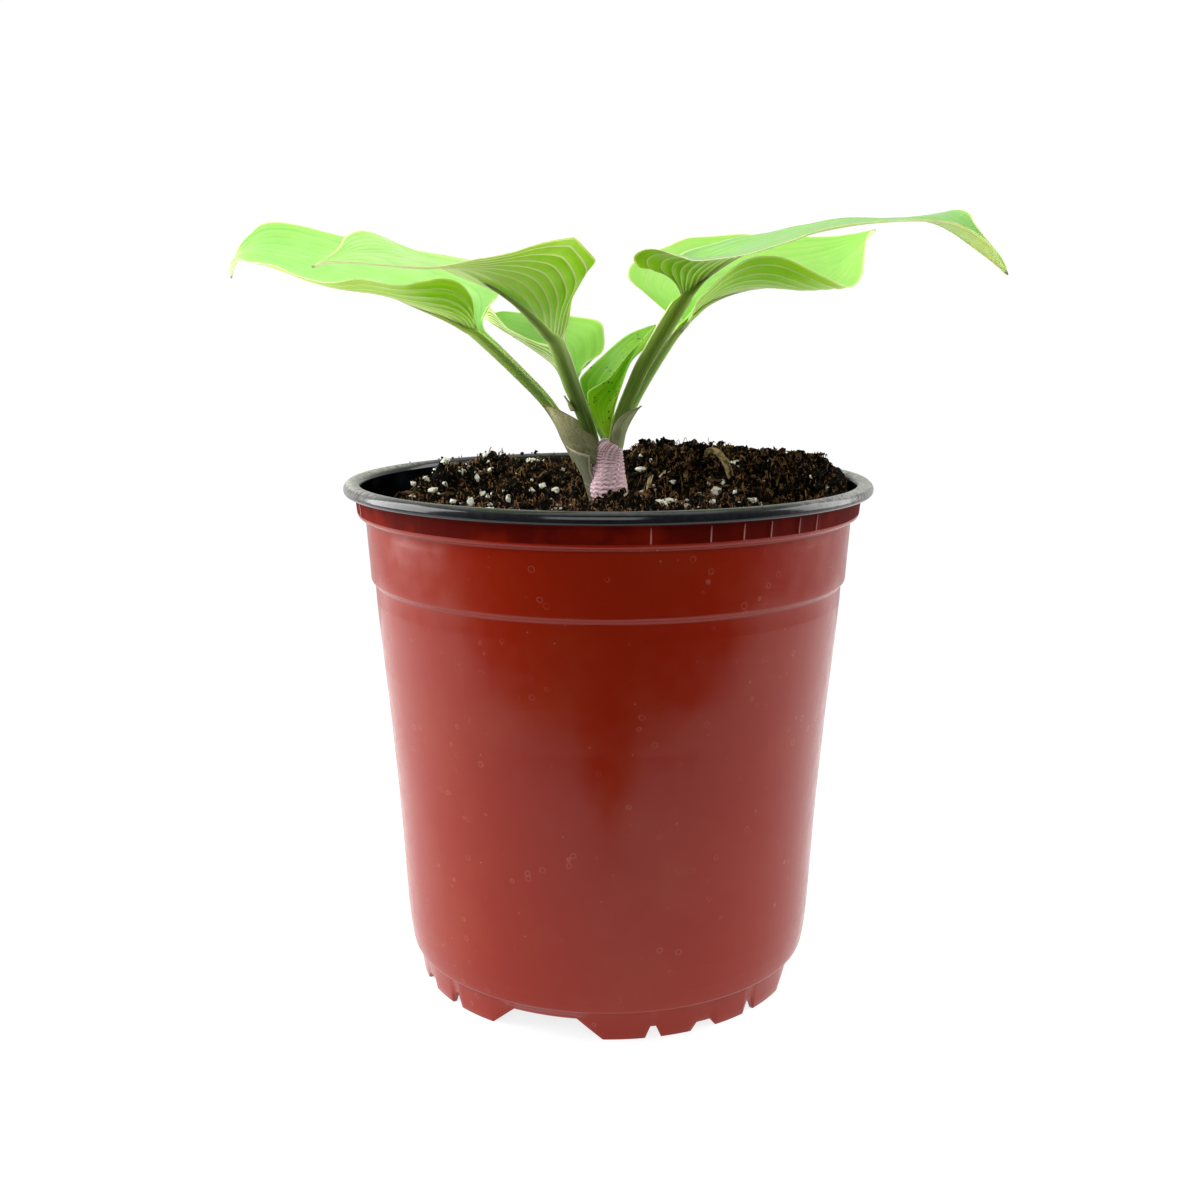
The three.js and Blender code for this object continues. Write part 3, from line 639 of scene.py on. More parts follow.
@dataclass(frozen=True)
class PotFinish:
    """Blown plastic in two layers: brick red outside, black inside and on the rim."""

    red: Colour = (0.255, 0.012, 0.0015)
    dull: Colour = (0.275, 0.030, 0.008)
    # painted shade: the collar's red, darkened for the shade under the rim's overhang
    shaded: Colour = (0.085, 0.003, 0.001)
    black: Colour = (0.007, 0.008, 0.011)
    deep: Colour = (0.001, 0.001, 0.001)
    # pale colour on the rim: partly real dust, partly painted sheen where the rim reflects the white surround
    dust_and_sheen: Colour = (0.60, 0.58, 0.55)
    # chalky stains from dried water, also used as painted highlight on the collar's raised ticks
    chalk_and_highlight: Colour = (0.75, 0.42, 0.34)
    soil: Colour = (0.05, 0.03, 0.018)

    def make_red(self) -> bpy.types.Material:
        """Builds the outer layer with its water rings, scuffs and specks.

        Returns:
            The material.
        """
        recipe = Recipe("pot_red_plastic", 0.26, 0.3)
        patch = recipe.noise(26.0, 5.0)
        red = recipe.blend(recipe.ease(patch, 0.42, 0.8, 0.0, 0.5), self.red, self.dull)
        rings = recipe.ring_marks(5.2, 0.16, 0.05)
        damp = recipe.ease(recipe.noise(16.0, 3.0), 0.52, 0.66)
        red = recipe.blend(recipe.times(recipe.times(rings, damp), 0.11), red, self.chalk_and_highlight)
        dried = recipe.times(recipe.spots(3.1, 0.05, 0.12), recipe.ease(recipe.noise(13.0, 3.0), 0.56, 0.66))
        red = recipe.blend(recipe.times(dried, 0.16), red, self.chalk_and_highlight)
        specks = recipe.times(recipe.spots(2.0, 0.05, 0.09), recipe.ease(recipe.noise(23.0, 3.0), 0.57, 0.66))
        red = recipe.blend(recipe.times(specks, 0.4), red, self.soil)
        rough = recipe.ease(recipe.noise(5.0, 5.0), 0.3, 0.75, 0.17, 0.25)
        relief = recipe.bump(recipe.noise(0.9, 3.0), 0.005, recipe.bump(recipe.noise(14.0, 2.0), 0.05))
        return recipe.finish(red, rough, relief)

    def make_collar_with_painted_shade(self) -> bpy.types.Material:
        """Builds the dull collar under the rim, darkened as painted shade from the rim's overhang, with paler
        ticks as painted highlight.

        Returns:
            The material.
        """
        recipe = Recipe("pot_collar_painted_shade", 0.6, 0.02)
        patch = recipe.noise(12.0, 4.0)
        # painted shade: the collar is darkened for the shade under the rim's overhang
        red = recipe.blend(recipe.ease(patch, 0.45, 0.75, 0.0, 0.5), self.shaded, self.red)
        # painted highlight: the raised ticks are blended paler, as if they caught the light
        red = recipe.blend(recipe.ease(recipe.value("line"), 0.2, 0.9, 0.0, 0.5), red, self.chalk_and_highlight)
        return recipe.finish(red, None, recipe.bump(recipe.noise(0.9, 3.0), 0.01))

    def make_black(self) -> bpy.types.Material:
        """Builds the glossy rim, pale on its crest at both ends: partly dusty, partly painted sheen.

        Returns:
            The material.
        """
        recipe = Recipe("pot_black_plastic", 0.2, 0.35)
        ends = recipe.ease(recipe.math("ABSOLUTE", recipe.part("X")), 0.05, 0.078)
        cloud = recipe.ease(recipe.noise(1.8, 6.0), 0.1, 0.8)
        crest = recipe.ease(recipe.part("Z"), 0.1587, 0.1597)
        outer = recipe.times(recipe.value("rim"), 0.4)
        # dust and painted sheen: a faint painted highlight line along the whole crest, strong at both ends
        dust_and_sheen_share = recipe.times(cloud, recipe.math("MAXIMUM", crest, outer))
        dust_and_sheen_share = recipe.times(dust_and_sheen_share, recipe.plus(recipe.times(ends, 0.9), 0.05))
        black = recipe.blend(dust_and_sheen_share, self.black, self.dust_and_sheen)
        rough = recipe.ease(dust_and_sheen_share, 0.0, 0.7, 0.14, 0.5)
        return recipe.finish(black, rough, recipe.bump(recipe.noise(0.9, 3.0), 0.01))

    def make_inside(self) -> bpy.types.Material:
        """Builds the dull black of the pot's inside and floor.

        Returns:
            The material.
        """
        recipe = Recipe("pot_inside_plastic", 1.0, 0.0)
        black = recipe.blend(recipe.ease(recipe.noise(12.0, 4.0), 0.4, 0.7), self.deep, self.black)
        return recipe.finish(black, None, recipe.bump(recipe.noise(0.9, 3.0), 0.01))


@dataclass(frozen=True)
class SoilFinish:
    """Damp peat: nearly black in the hollows, red-brown on the crumbs."""

    dark: Colour = (0.0016, 0.0013, 0.001)
    brown: Colour = (0.009, 0.006, 0.003)
    warm: Colour = (0.22, 0.11, 0.048)

    def make(self, name: str) -> bpy.types.Material:
        """Builds the material under a name of its own."""
        recipe = Recipe(name, 0.9, 0.06)
        coarse = recipe.noise(7.0, 6.0)
        fine = recipe.noise(1.1, 5.0)
        colour = recipe.blend(recipe.ease(coarse, 0.44, 0.62), self.dark, self.brown)
        colour = recipe.blend(recipe.ease(recipe.value("tone"), 0.78, 1.0, 0.0, 0.6), colour, self.warm)
        colour = recipe.blend(recipe.ease(fine, 0.56, 0.66, 0.0, 0.8), colour, self.warm)
        colour = recipe.blend(recipe.ease(recipe.noise(1.3, 4.0), 0.42, 0.56, 1.0, 0.0), colour, self.dark)
        relief = recipe.bump(fine, 0.5, recipe.bump(recipe.noise(0.35, 3.0), 0.15))
        return recipe.finish(colour, None, relief)


@dataclass(frozen=True)
class GritFinish:
    """Small dry things in the soil: a main colour, a stain and a grain size."""

    name: str
    main: Colour
    stain: Colour
    grain_mm: float
    stained: float
    roughness: float = 0.8

    def make(self) -> bpy.types.Material:
        """Builds the material."""
        recipe = Recipe(self.name, self.roughness, 0.15)
        cloud = recipe.noise(self.grain_mm, 5.0)
        share = recipe.ease(cloud, 0.62 - self.stained, 0.86 - self.stained)
        colour = recipe.blend(share, self.main, self.stain)
        return recipe.finish(colour, None, recipe.bump(recipe.noise(self.grain_mm / 3, 4.0), 0.25))


@dataclass(frozen=True)
class SheathFinish:
    """Papery sheath: streaks along it near the top, wrinkles across it lower down."""

    name: str
    main: Colour
    streak: Colour
    foot: Colour
    tip: Colour
    wrinkle_from: float
    dots: float
    folds: float = 60.0

    def make(self) -> bpy.types.Material:
        """Builds the material from the sheath's values along and around.

        Returns:
            The material.
        """
        recipe = Recipe(self.name, 0.5, 0.35)
        along, around = recipe.value("along"), recipe.value("around")
        lengthwise = recipe.joined(recipe.times(around, 0.0035), recipe.times(along, 0.0022))
        streak = recipe.noise(1.0, 3.0, lengthwise)
        crosswise = recipe.joined(recipe.times(around, 0.0007), recipe.times(along, 0.0025))
        sway = recipe.noise(1.0, 2.0, crosswise)
        wave = recipe.plus(recipe.times(along, 0.5 * self.folds), recipe.times(sway, 6.0))
        fold = recipe.math("ABSOLUTE", recipe.math("SINE", wave))
        lower = recipe.ease(along, self.wrinkle_from, self.wrinkle_from + 0.15, 1.0, 0.0)
        colour = recipe.blend(recipe.ease(streak, 0.42, 0.66), self.main, self.streak)
        creases = recipe.times(recipe.ease(fold, 0.2, 0.9, 1.0, 0.0), lower)
        colour = recipe.blend(recipe.times(creases, 0.38), colour, self.streak)
        colour = recipe.blend(recipe.ease(along, 0.15, 0.75, 0.7, 0.0), colour, self.foot)
        dots = recipe.times(recipe.spots(0.9, 0.16, 0.34), self.dots)
        colour = recipe.blend(dots, colour, (0.06, 0.04, 0.03))
        colour = recipe.blend(recipe.ease(recipe.value("edge"), 0.3, 0.9, 0.9, 0.0), colour, self.tip)
        relief = recipe.bump(streak, 0.18, recipe.bump(recipe.times(fold, lower), 0.35))
        return recipe.finish(colour, None, relief)


@dataclass(frozen=True)
class FloorFinish:
    """A plain pale table top that glows a little, as a lit table does."""

    white: Colour = (0.32, 0.32, 0.32)
    glow: float = 0.82

    def make(self) -> bpy.types.Material:
        """Builds the material."""
        recipe = Recipe("floor_white", 0.8, 0.1)
        recipe.shader.inputs["Base Color"].default_value = (*self.white, 1.0)
        recipe.shader.inputs["Emission Color"].default_value = (1.0, 1.0, 1.0, 1.0)
        recipe.shader.inputs["Emission Strength"].default_value = self.glow
        return recipe.material


# ---------------- leaves


@dataclass(frozen=True)
class Leaf:
    """One hosta leaf: a channelled stalk that runs on under the blade as its keel.

    The stalk and the rib are points on smooth curves. A margin is a list of stations:
    how far along the rib (as a part of its length), how far out to that side, and how
    far above the rib. Sizes are in millimetres.
    """

    node: str
    stalk: list[list[float]]
    stalk_radii: list[float]
    rib: list[list[float]]
    left: list[list[float]]
    right: list[list[float]]
    belly: float
    veins: int
    finish: LeafFinish
    vein_reach: float
    wing_from: float = 0.55
    rows: int = 124
    wing_rows: int = 26
    steps_per_vein: int = 5
    thickness: float = 0.42
    quilting: float = 0.16
    vein_ridge: float = 0.16
    tip: float = 0.998
    fan: float = 1.4
    softness: float = 0.07
    tail: tuple[float, ...] = (0.86, 0.66, 0.42, 0.16)
    keel: float = 0.75

    def rib_curve(self) -> SmoothCurve:
        """The midrib, which leaves the stalk in the stalk's own direction."""
        return SmoothCurve(np.array(self.rib, float), before=np.array(self.stalk[-2], float))

    def stalk_path(self) -> SmoothCurve:
        """The stalk's middle line, with its radius as a fourth number."""
        following = np.array([*self.rib[1], 0.85 * self.stalk_radii[-1]])
        return SmoothCurve(np.column_stack([self.stalk, self.stalk_radii]), after=following)

    def heading(self) -> Array:
        """The level direction from the blade's foot to its tip."""
        level = np.array(self.rib[-1], float) - np.array(self.rib[0], float)
        level[2] = 0.0
        return unit(level)

    def sideways(self, side: Side) -> Array:
        """The level direction out to one side."""
        heading = self.heading()
        return np.array([heading[1], -heading[0], 0.0]) * side.value

    def frame_along(self, path: SmoothCurve, along: Array) -> tuple[Array, Array, Array]:
        """Rows of a path, the directions across it to the right, and those to its channel."""
        forward = path.ahead(along)
        right = self.sideways(Side.RIGHT)
        across = unit(right - forward * (forward @ right)[:, None])
        return path.at(along), across, np.cross(across, forward)

    def margin(self, side: Side) -> tuple[SmoothCurve, float]:
        """The outline on one side, up the stalk's lip and then round the blade.

        Args:
            side: Which half.

        Returns:
            The outline, and the share of its length at which the blade begins.
        """
        share = np.linspace(self.wing_from, 1.0, 5)[:-1]
        middle, across, inward = self.frame_along(self.stalk_path(), share)
        lips = middle[:, :3] + middle[:, 3:] * (0.84 * side.value * across + 0.62 * inward)
        rib = self.rib_curve()
        stations = np.array(self.right if side is Side.RIGHT else self.left, float)
        along, out, rise = stations.T
        foot = rib.at(np.maximum(along, 0.0))
        foot = foot + self.heading() * (np.minimum(along, 0.0) * rib.length())[:, None]
        foot = foot + self.sideways(side) * out[:, None]
        foot[:, 2] += rise
        outline = SmoothCurve(np.concatenate([lips, foot]))
        return outline, outline.share_at(len(lips))

    def phases(self) -> Array:
        """Places across a half blade, where each whole number is a vein, 0 the rib.

        There are evenly spaced places between veins, and a few close to the margin.
        """
        outer = self.veins + 0.7
        inner = np.arange(0.0, outer - 0.5 / self.steps_per_vein, 1.0 / self.steps_per_vein)
        return np.concatenate([inner, outer - np.array([0.08, 0.035, 0.012, 0.0])])

    def spread(self, along: Array, share: Array) -> Array:
        """How far out from rib to margin a vein stands, for the vein's own share.

        A twentieth of the share, and the rest as the share to a power. The power is
        vein_reach, plus 3.2 times e to the minus distance over 0.17 near the foot,
        where the veins lie side by side within the rib.

        Args:
            along: Rows from the blade's foot to its tip, below 0 on the stalk.
            share: The vein's share of the half blade's width.

        Returns:
            Shares of the distance from rib to margin, as rows by veins.
        """
        power = self.vein_reach + 3.2 * np.exp(-np.maximum(along, 0.0) / 0.17)
        return 0.05 * share + 0.95 * share ** power[:, None]

    def rows_along(self) -> Array:
        """Rows from the wings' lower end, below 0, through the blade's foot to its tip."""
        low = np.linspace(self.wing_from - 1.0, 0.0, self.wing_rows, endpoint=False)
        return np.concatenate([low, np.linspace(0.0, self.tip, self.rows)])

    def half(self, side: Side) -> tuple[Array, Array]:
        """The straight-lined half blade and its sag, before any relief.

        Each row runs from the stalk or rib to the margin, almost straight: inside the
        blade it aims at the outline averaged over a short length, so that a corner of
        the outline is rounded off within. Past the foot it sags by 4 times belly times
        v times (1 - v), less where the half is narrow.

        Args:
            side: Which half.

        Returns:
            Places and sags, as rows by places across.
        """
        along = self.rows_along()
        share = self.phases() / self.phases()[-1]
        outline, foot = self.margin(side)
        low = along < 0.0
        place = np.where(low, foot * (along / (1.0 - self.wing_from) + 1.0), foot + (1.0 - foot) * along)
        end = outline.at(place)
        window = np.linspace(-1.0, 1.0, 9)
        weight = (1.0 - np.abs(window) * 0.9) / (1.0 - np.abs(window) * 0.9).sum()
        spans = self.softness * smoothstep(np.minimum(along, 1.0 - along), 0.0, 0.12)
        soft = sum(w * outline.at(place + offset * spans) for w, offset in zip(weight, window))
        spine = np.where(
            low[:, None],
            self.stalk_path().at(1.0 + along)[:, :3],
            self.rib_curve().at(np.maximum(along, 0.0) ** self.fan),
        )
        spine = spine[:, None]
        v = self.spread(along, share)[..., None]
        end = soft[:, None] + (end - soft)[:, None] * v**5
        breadth = np.linalg.norm(end[:, -1:] - spine, axis=-1)
        sag = 4.0 * v[..., 0] * (1.0 - v[..., 0]) * self.belly * np.minimum(1.0, breadth / 25.0)
        return spine + (end - spine) * v, sag * smoothstep(along, 0.0, 0.3)[:, None]

    def blade(self) -> Shell:
        """The blade as a closed shell with veins, keel and rounded margins.

        The middle surface is the two half blades side by side. It puffs up between
        veins, and its underside carries a ridge at each vein and a keel at the rib,
        each falling off as e to the minus square of the distance. The keel grows out
        of the stalk along the wings and thins out as e to the minus distance.

        Returns:
            The blade, with the values that the leaf's finish reads.
        """
        right, right_sag = self.half(Side.RIGHT)
        left, left_sag = self.half(Side.LEFT)
        straight = np.concatenate([left[:, :0:-1], right], axis=1)
        sag = np.concatenate([left_sag[:, :0:-1], right_sag], axis=1)
        rows = len(straight)
        phase = np.concatenate([self.phases()[:0:-1], self.phases()])[None].repeat(rows, axis=0)
        along = self.rows_along()[:, None].repeat(phase.shape[1], axis=1)
        up = unit(np.cross(np.gradient(straight, axis=1), np.gradient(straight, axis=0)))
        middle = straight - up * sag[..., None]
        step = np.linalg.norm(np.diff(middle, axis=1), axis=-1)
        run = np.concatenate([np.zeros((rows, 1)), np.cumsum(step, axis=1)], axis=1)
        centre = len(self.phases()) - 1
        from_rib = np.abs(run - run[:, centre : centre + 1])
        to_edge = np.minimum(run, run[:, -1:] - run)
        signed = np.concatenate([-self.phases()[:0:-1], self.phases()])
        spacing = np.abs(np.gradient(run, axis=1) / np.gradient(signed)[None])
        off_vein = np.abs(phase - np.round(phase)) * spacing
        at_vein = np.exp(-((off_vein / 0.34) ** 2)) * (np.round(phase) > 0) * (np.round(phase) <= self.veins)
        open_space = smoothstep(spacing, 0.8, 4.5) * (1.0 - 0.6 * smoothstep(along, 0.7, 1.0))
        puff = self.quilting * np.sin(math.pi * phase) ** 2 * open_space
        ripple = 0.2 * lattice_noise(middle / 9.0, 11) + 0.07 * lattice_noise(middle / 3.0, 12)
        middle = middle + up * (puff + ripple * smoothstep(from_rib, 0.0, 6.0))[..., None]
        rounded = np.sqrt(np.clip(1.0 - (1.0 - np.minimum(to_edge / 0.35, 1.0)) ** 2, 0.0, 1.0))
        body = 0.5 * self.thickness * (1.0 - 0.35 * smoothstep(from_rib, 4.0, 25.0))
        spine = straight[:, centre]
        reach = unit(np.gradient(spine, axis=0))
        over = unit(np.cross(straight[:, -1] - straight[:, 0], reach))
        over = over * np.sign(np.sum(over * up.mean(axis=1), axis=1, keepdims=True))
        girth, rib_share = self.stalk_radii[-1], np.maximum(along, 0.0) ** self.fan
        keel = self.keel * girth * np.exp(-rib_share / 0.16) + 0.2 + 0.3 * (1.0 - rib_share)
        keel_width = 0.5 + 0.95 * girth * np.exp(-rib_share / 0.2)
        grown = smoothstep(along, self.wing_from - 1.0, -0.02)
        rise = self.vein_ridge * at_vein * (0.15 + 0.85 * open_space)
        rise = rise + keel * grown * np.exp(-((from_rib / keel_width) ** 2))
        top = middle + up * (body * rounded)[..., None]
        near_rib = np.exp(-((from_rib / (1.6 * keel_width)) ** 2))[..., None]
        down = unit(up * (1.0 - near_rib) + over[:, None] * near_rib)
        under = middle - down * ((body + rise) * rounded)[..., None]
        rings = np.concatenate([top, under[:, -2:0:-1]], axis=1)
        around = {
            "along": along,
            "phase": phase,
            "spacing": spacing,
            "edge": np.minimum(to_edge, 6.0),
            "grain": signed[None].repeat(rows, axis=0),
            "outer": phase / phase.max(),
        }
        values = {k: np.concatenate([v, v[:, -2:0:-1]], axis=1) for k, v in around.items()}
        values["under"] = np.zeros(rings.shape[:2])
        values["under"][:, top.shape[1] :] = 1.0
        return leaf_stack(rings, values)

    def stem(self) -> Shell:
        """The stalk, whose end tapers off as the first part of the keel.

        The section is a circle's arc on the outer side, 0 to 130 degrees each way, and
        a channel on the side that faces the plant's middle and then the sky. Under the
        blade it turns into a half round with a flat top. The value along rises from -1
        to 0 at the blade's foot, less an ease of 0.14 over the last two fifths, so that
        the stalk keeps its own colour right up to the blade.

        Returns:
            The stalk, with the values that the leaf's finish reads.
        """
        rib = self.rib_curve()
        under = np.array([0.05, 0.12, 0.22, 0.36])
        taper = np.array(self.tail) * self.stalk_radii[-1]
        ahead = rib.ahead(under)
        up = unit(np.array([0.0, 0.0, 1.0]) - ahead * ahead[:, 2:])
        tail = rib.at(under) - up * (0.1 * taper)[:, None]
        stalk = self.stalk_path()
        path = SmoothCurve(np.concatenate([stalk.stations, np.column_stack([tail, taper])]))
        along = np.linspace(0.0, 1.0, 96)
        middle, across, inward = self.frame_along(path, along)
        radius = middle[:, None, 3:]
        travel = along * path.length() / stalk.length()
        past = smoothstep(travel, 0.96, 1.08)[:, None]
        wing = np.radians(130.0 - 48.0 * past)
        arc = np.linspace(-1.0, 1.0, 28)[None] * wing
        lip = np.linspace(1.0, -1.0, 14)[1:-1]
        depth = 0.95 * smoothstep(along, 0.0, 0.2)[:, None] * (1.0 - past) + 0.26 * past
        outer_a = np.sin(arc) * (1.0 + 0.12 * smoothstep(np.abs(arc), 1.9, 2.27) * depth)
        outer_b = -np.cos(arc)
        inner_a = np.sin(wing) * lip[None] * (1.0 + 0.12 * depth * (1.0 - past))
        inner_b = -np.cos(wing) + (0.35 - 1.35 * depth) * (1.0 - lip[None] ** 2)
        a = np.concatenate([outer_a, inner_a], axis=1)[..., None]
        b = np.concatenate([outer_b, inner_b], axis=1)[..., None]
        rings = middle[:, None, :3] + radius * (a * across[:, None] + b * inward[:, None])
        turn = np.concatenate([arc, (lip * 0.4)[None].repeat(len(along), axis=0)], axis=1)
        lip_gap = (1.2 - 1.2 * np.abs(lip))[None].repeat(len(along), axis=0)
        wing_gap = (np.concatenate([wing - np.abs(arc), lip_gap], axis=1) + 2.0 * past) * radius[..., 0]
        flat = np.ones(a.shape[:2])
        values = {
            "along": (np.minimum(travel, 1.0) - 1.0 - 0.14 * smoothstep(travel, 0.6, 1.0))[:, None] * flat,
            "phase": 0.5 * flat,
            "spacing": 4.0 * flat,
            "edge": wing_gap,
            "grain": turn * 2.2,
            "outer": 0.2 * flat,
            "under": flat,
        }
        return ring_stack(rings, values)

    def build(self, bench: Bench) -> None:
        """Builds the blade and stalk as one piece that stands for the leaf's node."""
        shell = Shell.joined([self.blade(), self.stem()])
        name = self.node.replace("leaf", "hosta_leaf")
        bench.place(name, shell, self.finish.make(), Slot.LEAF, [self.node])


